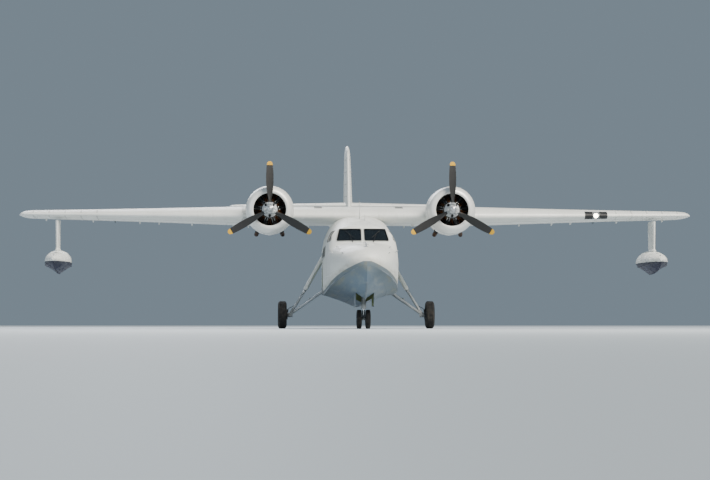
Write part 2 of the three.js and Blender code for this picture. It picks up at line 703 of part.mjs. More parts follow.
function noseLegPiece() {
  const y = at(noseWheel.station);
  return join(
    tube([0, y, 780], [0, y, noseBay.top - seam], 70, 70, 12),
    tube([0, y, 1000], [0, at(1850), noseBay.top - 40], 32, 32, 8),
    box(-60, 60, at(1800), at(1900), noseBay.top - 80, noseBay.top - seam),
    tube([0, y, 780], [0, y, 850], 95, 95, 12),
  );
}

function noseForkPiece() {
  const y = at(noseWheel.station);
  const z = flatRadius(noseWheel.radius);
  const reach = noseWheel.x + noseWheel.hub;
  const caps = [-1, 1].map((side) => tube([side * (reach + 3), y, z], [side * (reach + 20), y, z], 42, 42, 12));
  return join(
    tube([0, y, z], [0, y, 779], 50, 50, 12),
    tube([0, y, 690], [0, y, 779], 92, 92, 12),
    tube([-reach - 10, y, z], [reach + 10, y, z], 29, 29, 12),
    box(-40, 40, y - 150, y, z - 35, z + 35), // lug for a tow bar
    ...caps,
  );
}

function noseDoorPiece(side) {
  const [near, far] = [noseBay.half - 22, noseBay.half - 2];
  const x0 = side > 0 ? near : -far;
  return box(x0, x0 + far - near, at(noseBay.from + 10), at(noseBay.to - 10), 745, 1230);
}

// Assembly

const group = new THREE.Group();

function add(name, finish, body, position) {
  const mesh = new THREE.Mesh(geometryOf(body), new THREE.MeshStandardMaterial(paint[finish]));
  mesh.name = name;
  if (position) mesh.position.set(...position);
  group.add(mesh);
}

add("bow", "white", bowPiece());
add("hull_bottom", "grey", bottomPiece());
add("canopy", "white", canopyPiece());
add("roof", "white", roofPiece());
add("tail_cone", "white", tailConePiece());
add("aft_bulkhead", "grey", bulkheadPiece());
const doorWindow = (gap) => cabinWindowPrism(1, doorWindowAt, gap);
add("cabin_door", "white", cut(hullShell.intersect(doorPrism(8)), doorWindow(0)));
add("door_window", "glass", glassSheet(9800, 11700).intersect(doorWindow(2)));
add("wing_center", "white", wingCentrePiece());
add("landing_light", "glass", outerWing(1).intersect(lightBlock(seam)));
add("fin", "white", finPiece());
add("rudder", "white", rudderPiece());
add("tailplane", "white", tailplane());
add("nose_leg", "steel", noseLegPiece());
add("nose_fork", "steel", noseForkPiece());

for (const [label, side] of [["left", 1], ["right", -1]]) {
  add(`wall_${label}`, "white", wallPiece(side));
  add(`seat_${label}`, "cloth", seatPiece(side));
  for (const name of windows) add(`${name}_${label}`, "glass", glassPane(name, side));
  add(`cabin_glazing_${label}`, "glass", cabinGlazing(side, cabinWindowsAt[label]));
  const wing = side > 0 ? cut(outerWing(side), lightBlock(0)) : outerWing(side);
  add(`wing_${label}`, "white", wing);
  add(`flap_inner_${label}`, "white", wingStretch(side, flapInnerStart, wingJoint - endGap, "moving"));
  add(`flap_outer_${label}`, "white", wingStretch(side, wingJoint + endGap, flapOuterEnd, "moving"));
  add(`aileron_${label}`, "white", wingStretch(side, flapOuterEnd + endGap, aileronEnd - endGap, "moving"));
  add(`elevator_${label}`, "white", elevatorPiece(side));
  add(`nacelle_${label}`, "white", nacellePiece(side));
  add(`cowl_${label}`, "silver", cowlPiece(side));
  add(`engine_${label}`, "dark", enginePiece(side));
  add(`propeller_${label}`, "dark", propellerPiece(side));
  add(`float_${label}`, "navy", boat(floatRows, side * floatX));
  add(`float_pylon_${label}`, "white", pylonPiece(side));
  add(`main_leg_${label}`, "steel", mainLegPiece(side));
  const mainSpot = [side * mainWheel.x, at(mainWheel.station), flatRadius(mainWheel.radius)];
  add(`main_rim_${label}`, "steel", rimSolid(mainWheel), mainSpot);
  add(`main_tyre_${label}`, "rubber", tyreSolid(mainWheel), mainSpot);
  const noseSpot = [side * noseWheel.x, at(noseWheel.station), flatRadius(noseWheel.radius)];
  add(`nose_rim_${label}`, "steel", rimSolid(noseWheel), noseSpot);
  add(`nose_tyre_${label}`, "rubber", tyreSolid(noseWheel), noseSpot);
  add(`nose_door_${label}`, "white", noseDoorPiece(side));
}

export default group;
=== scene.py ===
import json
from collections import namedtuple
from math import atan2, ceil, copysign, cos, exp, hypot, pi, radians, sin, sqrt, tan
import bpy
import bmesh
from mathutils import Matrix, Vector

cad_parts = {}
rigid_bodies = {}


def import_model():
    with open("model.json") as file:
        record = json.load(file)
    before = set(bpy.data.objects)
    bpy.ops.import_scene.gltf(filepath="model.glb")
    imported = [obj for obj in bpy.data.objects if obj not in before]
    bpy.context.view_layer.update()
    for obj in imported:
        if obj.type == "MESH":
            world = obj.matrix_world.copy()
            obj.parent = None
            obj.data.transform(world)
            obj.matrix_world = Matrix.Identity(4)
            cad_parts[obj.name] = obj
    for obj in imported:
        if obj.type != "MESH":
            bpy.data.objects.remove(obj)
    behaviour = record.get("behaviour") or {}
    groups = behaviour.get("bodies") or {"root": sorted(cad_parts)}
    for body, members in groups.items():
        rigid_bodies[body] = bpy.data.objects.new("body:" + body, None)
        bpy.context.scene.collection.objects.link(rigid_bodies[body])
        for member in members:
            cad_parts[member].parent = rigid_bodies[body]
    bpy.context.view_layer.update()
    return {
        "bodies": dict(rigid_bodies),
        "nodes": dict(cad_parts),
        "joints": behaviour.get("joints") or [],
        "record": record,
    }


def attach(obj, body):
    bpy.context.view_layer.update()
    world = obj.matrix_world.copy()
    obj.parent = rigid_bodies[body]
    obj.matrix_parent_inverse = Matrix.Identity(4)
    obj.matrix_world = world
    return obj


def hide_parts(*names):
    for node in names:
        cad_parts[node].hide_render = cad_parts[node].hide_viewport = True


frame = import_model()

# The aircraft lies along Y with its nose at -Y. Stations are metres aft of the nose tip.
layout = {
    "halfLength": 9.245,
    "halfSpan": 12.19,
    "engineX": 3.18,
    "thrustZ": 4.15,
    "floatX": 10.8,
    "wingHinge": (8.75, 3.96),   # station and height of the line the flaps hang on
    "wingJoint": 4.05,           # the outer panels start here
    "tailHinge": (16.5, 4.88),   # station and height of the elevators' hinges
    "rudderHinge": 17.0,
    "dihedral": radians(1),
    "incidence": radians(2),
}

sides = (("left", 1), ("right", -1))
bothWays = (1, -1)


def at(station):
    return station - layout["halfLength"]


def vec(x=0.0, y=0.0, z=0.0):
    return Vector((x, y, z))


def lerp(a, b, t):
    return a + (b - a) * t


def spread(low, high, steps):
    return [lerp(low, high, k / steps) for k in range(steps + 1)]


def circle(count, first=0.0):
    return [(cos(first + 2 * pi * k / count), sin(first + 2 * pi * k / count)) for k in range(count)]


def oval(centre, across, up, count):
    return [centre + across * c + up * s for c, s in circle(count)]


def middleOf(points):
    return sum(points, vec()) / len(points)


def halved(low, high, inside, steps=30):
    # The place between low and high where a test turns true
    for _ in range(steps):
        t = (low + high) / 2
        low, high = (low, t) if inside(t) else (t, high)
    return (low + high) / 2


# Tables and surfaces


def smoothTable(rows):
    # Gives the other columns at any value of the first one. A row that ends in "corner" keeps a kink there.
    places, columns = [row[0] for row in rows], range(1, len(rows[0]))

    def slope(i, k, right):
        before, after = ((rows[j + 1][k] - rows[j][k]) / (places[j + 1] - places[j])
                         if 0 <= j < len(rows) - 1 else None for j in (i - 1, i))
        if before is None or after is None:
            return after if before is None else before
        if rows[i][-1] == "corner":
            return after if right else before
        return 0.0 if before * after <= 0 else 2 * before * after / (before + after)

    slopes = [[(slope(i, k, True), slope(i, k, False)) for k in columns] for i in range(len(rows))]

    def values(s):
        s = min(max(s, places[0]), places[-1])
        i = max(j for j in range(len(rows) - 1) if places[j] <= s)
        h = places[i + 1] - places[i]
        t = (s - places[i]) / h
        return [a + (b - a) * (3 - 2 * t) * t * t + leave * h * t * (t - 1) ** 2 + reach * h * (t - 1) * t * t
                for a, b, (leave, _), (_, reach) in zip(rows[i][1:], rows[i + 1][1:], slopes[i], slopes[i + 1])]

    return values


Section = namedtuple("Section", "keel chine chineHalf side half top power")

# Station, then the columns of a section
hullRows = [
    (0.0, 2.02, 2.11, 0.1, 2.17, 0.14, 2.33, 2.0),
    (0.2, 1.6, 1.97, 0.4, 2.19, 0.47, 2.54, 2.0),
    (0.6, 1.29, 1.84, 0.66, 2.19, 0.74, 2.7, 2.1),
    (1.3, 1.06, 1.67, 0.91, 2.19, 0.98, 2.83, 2.3),
    (2.2, 0.93, 1.5, 1.09, 2.19, 1.14, 2.91, 2.5),
    (2.95, 0.87, 1.39, 1.17, 2.2, 1.205, 2.965, 2.7, "corner"),
    (3.62, 0.845, 1.33, 1.205, 2.25, 1.225, 3.56, 3.0, "corner"),
    (4.4, 0.825, 1.29, 1.22, 2.25, 1.23, 3.7, 3.0),
    (5.3, 0.815, 1.265, 1.225, 2.25, 1.235, 3.86, 3.0),
    (6.2, 0.81, 1.25, 1.225, 2.25, 1.235, 4.0, 3.0),
    (8.0, 0.803, 1.245, 1.225, 2.25, 1.235, 4.04, 3.0),
    (9.4, 0.8, 1.245, 1.22, 2.25, 1.232, 3.99, 3.0, "corner"),
    (9.405, 0.96, 1.39, 1.205, 2.25, 1.23, 3.99, 3.0, "corner"),
    (10.4, 1.06, 1.44, 1.13, 2.26, 1.2, 3.9, 2.9),
    (11.6, 1.2, 1.53, 0.96, 2.3, 1.12, 3.78, 2.7),
    (12.8, 1.37, 1.64, 0.7, 2.36, 1.0, 3.66, 2.5),
    (13.9, 1.58, 1.78, 0.4, 2.45, 0.85, 3.57, 2.3),
    (15.2, 1.96, 2.08, 0.26, 2.6, 0.64, 3.5, 2.2),
    (16.6, 2.42, 2.52, 0.19, 2.85, 0.42, 3.44, 2.1),
    (17.8, 2.83, 2.9, 0.12, 3.05, 0.23, 3.39, 2.0),
    (18.49, 3.08, 3.12, 0.05, 3.16, 0.09, 3.3, 2.0),
]


class Boat:
    # A hull or a wing float. Its skin goes from the keel (u = 0) round the chine (1) and side (2) to the crown (3).
    def __init__(self, rows, centreX=0.0):
        self.places, self.table, self.centreX, self.known = [row[0] for row in rows], smoothTable(rows), centreX, {}

    def section(self, s):
        if s not in self.known:
            self.known[s] = Section(*self.table(s))
        return self.known[s]

    def point(self, s, u, side=1, inset=0.0):
        keel, chine, chineHalf, sideZ, half, top, power = self.section(s)
        if u <= 1:
            # the bottom flattens towards the chine
            x, z = (chineHalf - inset) * u, keel + inset + (chine - keel) * u * (1.16 - 0.16 * u * u)
        elif u <= 2:
            x, z = lerp(chineHalf, half, sin((u - 1) * pi / 2)) - inset, lerp(chine + inset, sideZ, u - 1)
        else:
            a = (u - 2) * pi / 2
            x = (half - inset) * max(cos(a), 0.0) ** (2 / power)
            z = sideZ + (top - inset - sideZ) * sin(a) ** (2 / power)
        return vec(self.centreX + side * max(x, 0.0), at(s), z)

    def normal(self, s, u, side):
        around = self.point(s, min(u + 0.02, 3), side) - self.point(s, max(u - 0.02, 0), side)
        along = self.point(s + 0.01, u, side) - self.point(s - 0.01, u, side)
        return along.cross(around).normalized() * side

    def on(self, s, u, side, lift=0.0):
        # A place on the skin and the way out of it
        n = self.normal(s, u, side)
        return self.point(s, u, side) + n * lift, n

    def widthAt(self, s, z):
        return halved(1.0, 3.0, lambda u: self.point(s, u).z >= z)

    def stations(self, spacing):
        inner = []
        for a, b in zip(self.places, self.places[1:]):
            inner += spread(a, b, max(1, ceil((b - a) / spacing)))[:-1]
        return inner + self.places[-1:]

    def ring(self, s, params, inset=0.0):
        half = [self.point(s, u, 1, inset) for u in params]
        return half + [self.point(s, u, -1, inset) for u in params[1:-1]][::-1]


print("tables ready")

# Mesh tools


def cleaned(mesh, thin=1e-6, recalc=True):
    bm = bmesh.new()
    bm.from_mesh(mesh)
    bmesh.ops.remove_doubles(bm, verts=bm.verts, dist=1e-5)
    bmesh.ops.dissolve_degenerate(bm, edges=bm.edges, dist=thin)
    if recalc:
        bmesh.ops.recalc_face_normals(bm, faces=bm.faces)
    bm.to_mesh(mesh)
    bm.free()


def shadeSmooth(mesh, angle):
    mesh.polygons.foreach_set("use_smooth", [angle > 0] * len(mesh.polygons))
    if angle > 0:
        mesh.set_sharp_from_angle(angle=radians(angle))


def makeMesh(name, verts, faces, smooth, recalc=True):
    mesh = bpy.data.meshes.new(name)
    mesh.from_pydata([tuple(v) for v in verts], [], faces)
    cleaned(mesh, recalc=recalc)
    shadeSmooth(mesh, smooth)
    return mesh


def makeObject(name, mesh, material=None):
    piece = bpy.data.objects.new(name, mesh)
    bpy.context.scene.collection.objects.link(piece)
    if material:
        mesh.materials.clear()
        mesh.materials.append(material)
    return piece


def keep(piece, name, values):
    # Stores a number at each point, which the piece's material reads
    piece.data.attributes.new(name, "FLOAT", "POINT").data.foreach_set("value", values)
    return piece


def done(piece, paint, body="airframe", replaces=()):
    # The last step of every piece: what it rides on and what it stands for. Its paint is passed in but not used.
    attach(piece, body)
    if replaces:
        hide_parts(*replaces.split())
    return piece


def loftFaces(count, rows, capStart=True, capEnd=True, closed=True):
    faces = [(r * count + i, r * count + (i + 1) % count, (r + 1) * count + (i + 1) % count, (r + 1) * count + i)
             for r in range(rows - 1) for i in range(count if closed else count - 1)]
    if capStart:
        faces.append(tuple(range(count))[::-1])
    if capEnd:
        faces.append(tuple((rows - 1) * count + i for i in range(count)))
    return faces


class Bag:
    # Collects shapes that become one piece. A tuple is a place (out, aft, up) measured from the bag's origin,
    # the nose tip unless one is given, and out is mirrored on side -1. A Vector is a place in the aircraft.
    def __init__(self, side=1, origin=None):
        self.verts, self.faces, self.side = [], [], side
        self.origin = vec(0, at(0), 0) if origin is None else origin

    def where(self, p):
        return p if isinstance(p, Vector) else self.origin + vec(self.side * p[0], p[1], p[2])

    def add(self, verts, faces):
        base = len(self.verts)
        self.verts += verts
        self.faces += [tuple(base + i for i in face) for face in faces]
        return self

    def loft(self, rings, **options):
        # Skins a row of rings that have the same number of points
        points = [self.where(p) for ring in rings for p in ring]
        return self.add(points, loftFaces(len(rings[0]), len(rings), **options))

    def tube(self, points, radius, sides=12, caps=True):
        # A round bar along a path, with one radius or one for each point
        points = [self.where(p) for p in points]
        radii = radius if isinstance(radius, (list, tuple)) else [radius] * len(points)
        rings, across = [], None
        for i, (p, r) in enumerate(zip(points, radii)):
            along = (points[min(i + 1, len(points) - 1)] - points[max(i - 1, 0)]).normalized()
            across = along.orthogonal() if across is None else across
            across = (across - along * across.dot(along)).normalized()
            rings.append(oval(p, across * r, along.cross(across) * r, sides))
        return self.loft(rings, capStart=caps, capEnd=caps)

    def rods(self, sides, *rows):
        # Several tubes: each row is a radius, or radii, and then the points
        for radius, *points in rows:
            self.tube(points, radius, sides)
        return self

    def stack(self, foot, way, sides, *rows):
        # A turned shape that rises from its foot: each row is a height and a radius
        foot, way = self.where(foot), Vector(way)
        return self.tube([foot + way * height for height, _ in rows], [radius for _, radius in rows], sides)

    def spin(self, profile, sides, axis="Y", centre=(0, 0, 0)):
        # A profile of (radius, along) turned about an axis. It ends on the axis or closes on itself.
        place = {"X": lambda r, d, c, s: vec(d, r * c, r * s), "Y": lambda r, d, c, s: vec(r * c, d, r * s),
                 "Z": lambda r, d, c, s: vec(r * c, r * s, d)}[axis]
        centre, turns = self.where(centre), circle(sides)
        rings = [[centre + place(r, d, c, s) for r, d in profile] for c, s in turns + turns[:1]]
        return self.loft(rings, capStart=False, capEnd=False, closed=False)

    def box(self, low, high, bevel=0.0, turn=None):
        low, high = self.where(low), self.where(high)
        bm = bmesh.new()
        bmesh.ops.create_cube(bm, size=1)
        bmesh.ops.scale(bm, vec=[abs(b - a) for a, b in zip(low, high)], verts=bm.verts)
        if bevel:
            bmesh.ops.bevel(bm, geom=bm.edges, offset=bevel, segments=2, affect="EDGES", profile=0.5)
        place = Matrix.Translation((low + high) / 2) @ (turn or Matrix.Identity(4))
        bmesh.ops.transform(bm, matrix=place, verts=bm.verts)
        bm.verts.index_update()
        self.add([v.co.copy() for v in bm.verts], [[v.index for v in f.verts] for f in bm.faces])
        bm.free()
        return self

    def arms(self, part, turns, centre):
        # Copies of a shape drawn about the origin, turned round Y and put at a centre
        for angle in turns:
            turn = Matrix.Translation(centre) @ Matrix.Rotation(-angle, 4, "Y")
            self.add([turn @ v for v in part.verts], part.faces)
        return self

    def piece(self, name, paint=None, smooth=40):
        return makeObject(name, makeMesh(name, self.verts, self.faces, smooth), paints.get(paint))

    def make(self, name, paint, smooth=40, body="airframe", replaces=""):
        piece = self.piece(name, paint, smooth)
        return done(paintByHeight(piece) if paint == "hull" else piece, paint, body, replaces)


def evaluated(piece):
    # The mesh with its modifiers applied, in place of the piece's own
    old = piece.data
    mesh = bpy.data.meshes.new_from_object(piece.evaluated_get(bpy.context.evaluated_depsgraph_get()))
    piece.modifiers.clear()
    piece.data = mesh
    bpy.data.meshes.remove(old)
    return piece


def boolean(piece, tools, operation="DIFFERENCE", smooth=30):
    # Cuts or keeps by several closed tools at once, then removes them
    tray = bpy.data.collections.new("tray")
    bpy.context.scene.collection.children.link(tray)
    for tool in tools:
        bpy.context.scene.collection.objects.unlink(tool)
        tray.objects.link(tool)
    cut = piece.modifiers.new("cut", "BOOLEAN")
    cut.operation, cut.solver, cut.material_mode = operation, "EXACT", "TRANSFER"
    cut.operand_type, cut.collection = "COLLECTION", tray
    evaluated(piece)
    for tool in tools:
        bpy.data.objects.remove(tool)
    bpy.data.collections.remove(tray)
    cleaned(piece.data, 1e-5, False)
    shadeSmooth(piece.data, smooth)
    return piece


def joined(name, pieces):
    # Several pieces as one, with their materials kept
    slots = list(dict.fromkeys(m for piece in pieces for m in piece.data.materials))
    bm = bmesh.new()
    for piece in pieces:
        own, first = [slots.index(m) for m in piece.data.materials], len(bm.faces)
        bm.from_mesh(piece.data)
        bm.faces.ensure_lookup_table()
        for face in bm.faces[first:]:
            face.material_index = own[min(face.material_index, len(own) - 1)]
        bpy.data.objects.remove(piece)
    mesh = bpy.data.meshes.new(name)
    bm.to_mesh(mesh)
    bm.free()
    for m in slots:
        mesh.materials.append(m)
    shadeSmooth(mesh, 30)
    return makeObject(name, mesh)


def outline(points, radius, steps=5, longest=0.06):
    # A flat outline with its corners rounded and points all along its sides, so that it can lie on a curved skin
    rounded = []
    for i, p in enumerate(points):
        p, before, after = Vector(p), Vector(points[i - 1]), Vector(points[(i + 1) % len(points)])
        a, b = (before - p).normalized(), (after - p).normalized()
        half = a.angle(b) / 2
        centre = p + (a + b).normalized() * (radius / sin(half))
        start, end = p + a * (radius / tan(half)) - centre, p + b * (radius / tan(half)) - centre
        turn = start.angle(end)
        rounded += [centre + (start * sin((1 - t) * turn) + end * sin(t * turn)) / sin(turn)
                    for t in spread(0, 1, steps)]
    full = []
    for p, after in zip(rounded, rounded[1:] + rounded[:1]):
        parts = max(1, ceil((after - p).length / longest))
        full += [p.lerp(after, k / parts) for k in range(parts)]
    return full


def rectangle(x0, y0, x1, y1):
    return [(x0, y0), (x1, y0), (x1, y1), (x0, y1)]


print("mesh tools ready")

# Materials


class Signal:
    # Wraps a shader socket, so that sums on it add Math nodes
    def __init__(self, paint, socket):
        self.paint, self.socket = paint, socket

    def math(self, operation, *values):
        return self.paint.node("ShaderNodeMath", {"operation": operation}, dict(enumerate(values)))

    def __add__(self, other): return self.math("ADD", self, other)
    def __sub__(self, other): return self.math("SUBTRACT", self, other)
    def __rsub__(self, other): return self.math("SUBTRACT", other, self)
    def __mul__(self, other): return self.math("MULTIPLY", self, other)
    __radd__, __rmul__ = __add__, __mul__

    def band(self, low, high):
        # 0 below low, 1 above high and smooth between them
        return self.paint.node("ShaderNodeMapRange", {"interpolation_type": "SMOOTHSTEP", "clamp": True},
                               {"Value": self, "From Min": low, "From Max": high, "To Min": 0.0, "To Max": 1.0})


class Paint:
    # A procedural material built round one Principled shader
    def __init__(self, name, roughness=0.5, metallic=0.0, **constants):
        self.material = bpy.data.materials.new(name)
        self.material.use_nodes = True
        self.tree = self.material.node_tree
        self.tree.nodes.clear()
        self.shader = self.tree.nodes.new("ShaderNodeBsdfPrincipled")
        out = self.tree.nodes.new("ShaderNodeOutputMaterial")
        self.tree.links.new(self.shader.outputs[0], out.inputs[0])
        self.set({"Roughness": roughness, "Metallic": metallic})
        self.set({key.replace("_", " ").title().replace("Ior", "IOR"): value for key, value in constants.items()})

    def set(self, values):
        for key, value in values.items():
            self.feed(self.shader.inputs[key], value)
        return self

    def feed(self, socket, value):
        if isinstance(value, Signal):
            self.tree.links.new(value.socket, socket)
        else:
            socket.default_value = colour(value) if socket.type == "RGBA" else value

    def node(self, kind, settings, inputs, output=0):
        made = self.tree.nodes.new(kind)
        for key, value in settings.items():
            setattr(made, key, value)
        for key, value in inputs.items():
            self.feed(made.inputs[key], value)
        return Signal(self, made.outputs[output])

    def place(self, stretch=(1, 1, 1)):
        where = self.node("ShaderNodeTexCoord", {}, {}, "Object")
        return self.node("ShaderNodeMapping", {}, {"Vector": where, "Scale": stretch})

    def axis(self, letter):
        return self.node("ShaderNodeSeparateXYZ", {}, {0: self.node("ShaderNodeTexCoord", {}, {}, "Object")}, letter)

    def noise(self, scale, detail, stretch=(1, 1, 1)):
        return self.node("ShaderNodeTexNoise", {}, {"Vector": self.place(stretch), "Scale": scale, "Detail": detail,
                                                    "Roughness": 0.55})

    def cells(self, stretch):
        # A steady random value in each cell of a grid
        snapped = self.node("ShaderNodeVectorMath", {"operation": "FLOOR"}, {0: self.place(stretch)})
        return self.node("ShaderNodeTexWhiteNoise", {"noise_dimensions": "3D"}, {"Vector": snapped})

    def coats(self, shade, *layers):
        # Each layer is a mask and the colour that it lets through
        for mask, over in layers:
            shade = self.node("ShaderNodeMix", {"data_type": "RGBA", "clamp_factor": True},
                              {0: mask, 6: shade, 7: over}, 2)
        return shade

    def bump(self, height, depth, strength):
        normal = self.node("ShaderNodeBump", {}, {"Height": height, "Distance": depth, "Strength": strength})
        return self.set({"Normal": normal})

    def layer(self, name):
        return self.node("ShaderNodeAttribute", {"attribute_name": name}, {}, "Fac")


def colour(value):
    if isinstance(value, str):
        channels = [int(value[i:i + 2], 16) / 255 for i in (0, 2, 4)]
        return tuple(c / 12.92 if c <= 0.04045 else ((c + 0.055) / 1.055) ** 2.4 for c in channels) + (1.0,)
    return (value, value, value, 1.0) if isinstance(value, (int, float)) else tuple(value)


paintValues = {"white": "d9dbd6", "hullGrey": "5f7180", "navy": "0b1230", "dirt": "6f6a5d", "sootAndShade": "2c2824"}


def sheetPaint(name, base, panel, grime, roughness=0.42, metallic=0.05, streaks=(7, 7, 0.55)):
    # Aged aircraft enamel: each sheet a little different, rain streaks, blotches and fine grime
    paint, dirt = Paint(name, coat_roughness=0.25), paintValues["dirt"]
    tone, cloud, fine = paint.cells(panel), paint.noise(0.9, 5), paint.noise(14.0, 4)
    rain = paint.noise(1.6, 5, streaks).band(0.52, 0.78)
    shade = paint.coats(base, (tone * 0.14, 0.62), (cloud.band(0.42, 0.72) * (0.22 * grime), dirt),
                        (rain * (0.3 * grime), dirt), (fine.band(0.62, 0.74) * (0.12 * grime), 0.2))
    paint.set({"Base Color": shade, "Metallic": metallic, "Coat Weight": 0.15 * (1 - rain),
               "Roughness": roughness + 0.16 * cloud + 0.1 * fine.band(0.4, 0.8) - 0.05 * tone})
    return paint.bump(paint.noise(2.2, 2) * 0.6 + fine * 0.05, 0.004, 0.5)  # sheets that are not quite flat


def metalPaint(name, base, roughness, metallic, wear, scale, dark):
    paint = Paint(name)
    stain, grain = paint.noise(3.0, 5).band(0.4, 0.75), paint.noise(scale, 4)
    paint.set({"Base Color": paint.coats(base, (stain * wear, dark), (grain.band(0.5, 0.8) * 0.2, dark)),
               "Metallic": metallic, "Roughness": roughness + 0.2 * stain + 0.12 * grain})
    return paint.bump(grain, 0.001, 0.35)


def darkPaint(name, base, roughness, dust, scale=18.0, depth=0.002):
    paint = Paint(name)
    cloud, grain = paint.noise(2.5, 5), paint.noise(scale, 5)
    shade = paint.coats(base, (cloud.band(0.45, 0.75) * dust, paintValues["dirt"]),
                        (grain.band(0.55, 0.8) * (0.25 * dust), 0.3))
    paint.set({"Base Color": shade, "Roughness": roughness + 0.15 * cloud})
    return paint.bump(grain, depth, 0.4)


def makeHullPaint():
    # White topsides over a grey bottom, with a scummy waterline and dirt washed back along the planing bottom
    paint, dirt = Paint("hullEnamel"), paintValues["dirt"]
    height = paint.layer("aboveChine")  # metres above the paint line, kept by the skin
    ragged = height + (paint.noise(3.0, 3) * 0.05 - 0.025)
    line = height.band(-0.004, 0.004)
    tone, cloud = paint.cells((0.8, 1.25, 1.6)), paint.noise(0.8, 5)
    wash = paint.noise(1.4, 6, (4, 0.35, 4)).band(0.45, 0.75)
    rain = paint.noise(1.6, 5, (7, 7, 0.5)).band(0.52, 0.78)
    scum = ragged.band(-0.45, -0.02) * (1 - ragged.band(0.0, 0.28))
    bottom = paint.coats(paintValues["hullGrey"], (tone * 0.2, "4b5b69"), (wash * 0.45, "8b938f"))
    top = paint.coats(paintValues["white"], (tone * 0.14, 0.62), (rain * 0.2, dirt),
                      (cloud.band(0.42, 0.72) * 0.13, dirt))
    paint.set({"Base Color": paint.coats(bottom, (line, top), (scum * (0.25 + 0.5 * wash), "6d6748")), "Metallic": 0.05,
               "Roughness": 0.36 + 0.2 * cloud + 0.25 * scum, "Coat Weight": 0.15 * line})
    return paint.bump(paint.noise(2.0, 2) * 0.6, 0.004, 0.5)


def makeFloatPaint():
    paint = Paint("floatEnamel", specular_ior_level=0.3)
    height, cloud = paint.axis("Z"), paint.noise(2.0, 5)
    wash = paint.noise(2.2, 6, (5, 0.4, 5)).band(0.45, 0.75)
    bottom = paint.coats(paintValues["navy"], (wash * 0.2, "2c3a66"))
    top = paint.coats(paintValues["white"], (cloud.band(0.45, 0.75) * 0.25, paintValues["dirt"]))
    scum = height.band(2.2, 2.38) * (1 - height.band(2.42, 2.55)) * (0.1 + 0.3 * wash)
    paint.set({"Base Color": paint.coats(bottom, (height.band(2.395, 2.4), top), (scum, "5b5a4c")),
               "Roughness": 0.42 + 0.2 * cloud})
    return paint.bump(paint.noise(4.0, 2), 0.002, 0.4)


def makeNacellePaint():
    # White enamel, blackened behind the exhaust stacks and streaked with oil
    paint = sheetPaint("nacelleEnamel", paintValues["white"], (1.6, 1.2, 1.6), 0.7, streaks=(7, 0.4, 7))
    sooted = (1 - paint.axis("Z").band(3.45, 4.0)) * paint.axis("Y").band(at(5.9), at(7.0))
    trail = paint.noise(1.3, 6, (5, 0.3, 5)).band(0.35, 0.7)
    clean = Signal(paint, paint.shader.inputs["Base Color"].links[0].from_socket)
    return paint.set({"Base Color": paint.coats(clean, (sooted * (0.35 + 0.5 * trail), paintValues["sootAndShade"]))})


def makeGlass():
    paint = Paint("tintedGlass", ior=1.5, specular_ior_level=0.7)
    haze = paint.noise(5.0, 4).band(0.5, 0.8)
    paint.set({"Base Color": paint.coats("10171d", (haze * 0.2, "2b3134")), "Roughness": 0.03 + 0.1 * haze,
               "Alpha": 0.64 + 0.06 * haze})
    paint.material.surface_render_method = "BLENDED"
    return paint


def makeCover():
    # The landing light's clear cover, a little hazy
    paint = Paint("clearCover", roughness=0.03, ior=1.45)
    haze = paint.noise(9.0, 4)
    paint.set({"Base Color": paint.coats("cdd4d8", (haze * 0.3, "8f9498")), "Alpha": 0.12 + 0.14 * haze})
    paint.material.surface_render_method = "BLENDED"
    return paint


def makeTyre():
    paint = Paint("tyreRubber")
    dust = paint.noise(7.0, 5)
    paint.set({"Base Color": paint.coats("131314", (dust.band(0.4, 0.75) * 0.55, "4a463e")),
               "Roughness": 0.78 + 0.15 * dust})
    return paint.bump(paint.noise(60.0, 3), 0.001, 0.4)


def makeCloth(name, base):
    paint = Paint(name, sheen_weight=0.25, sheen_roughness=0.5)
    weave = paint.node("ShaderNodeTexWave", {"wave_type": "BANDS", "bands_direction": "DIAGONAL"},
                       {"Vector": paint.place(), "Scale": 90.0, "Distortion": 1.5}, 1)
    worn = paint.noise(6.0, 4).band(0.45, 0.7)
    paint.set({"Base Color": paint.coats(base, (worn * 0.35, "8a8672")), "Roughness": 0.8 + 0.12 * weave})
    return paint.bump(weave, 0.001, 0.5)


def makeExhaust():
    paint = Paint("exhaustSteel", metallic=0.9)
    heat = paint.noise(5.0, 5)
    paint.set({"Base Color": paint.coats("5a4334", (heat.band(0.35, 0.7), "2a2522")), "Roughness": 0.45 + 0.3 * heat})
    return paint.bump(paint.noise(40.0, 3), 0.001, 0.4)


def makeLens(name, base, glow=0.0):
    paint = Paint(name, ior=1.5, transmission_weight=0.35, emission_strength=glow)
    haze = paint.noise(20.0, 3)
    return paint.set({"Base Color": paint.coats(base, (haze * 0.15, 0.9)), "Emission Color": base,
                      "Roughness": 0.06 + 0.08 * haze})


def makeBlade():
    # Black blades with yellow tips, stone-chipped along the edges. The blade's mesh keeps both masks.
    paint = Paint("bladePaint")
    chips = paint.noise(45.0, 4).band(0.5, 0.64) * paint.layer("edge")
    grime = paint.noise(8.0, 5)
    shade = paint.coats("121314", (grime * 0.5, "2a2a29"), (paint.layer("tip").band(0.495, 0.505), "c79a1c"),
                        (chips, "9a9c9d"))
    paint.set({"Base Color": shade, "Metallic": 0.85 * chips, "Roughness": 0.42 + 0.2 * grime})
    return paint.bump(grime, 0.001, 0.2)


# These are used in two slots
shared = {
    "float": makeFloatPaint(),
    "steel": metalPaint("gearEnamel", "a4a9ab", 0.4, 0.35, 0.5, 30.0, 0.12),
    "darkSteel": metalPaint("darkSteel", "3a3c3e", 0.45, 0.9, 0.4, 35.0, 0.05),
    "rubber": darkPaint("blackRubber", "17181a", 0.7, 0.25),
}

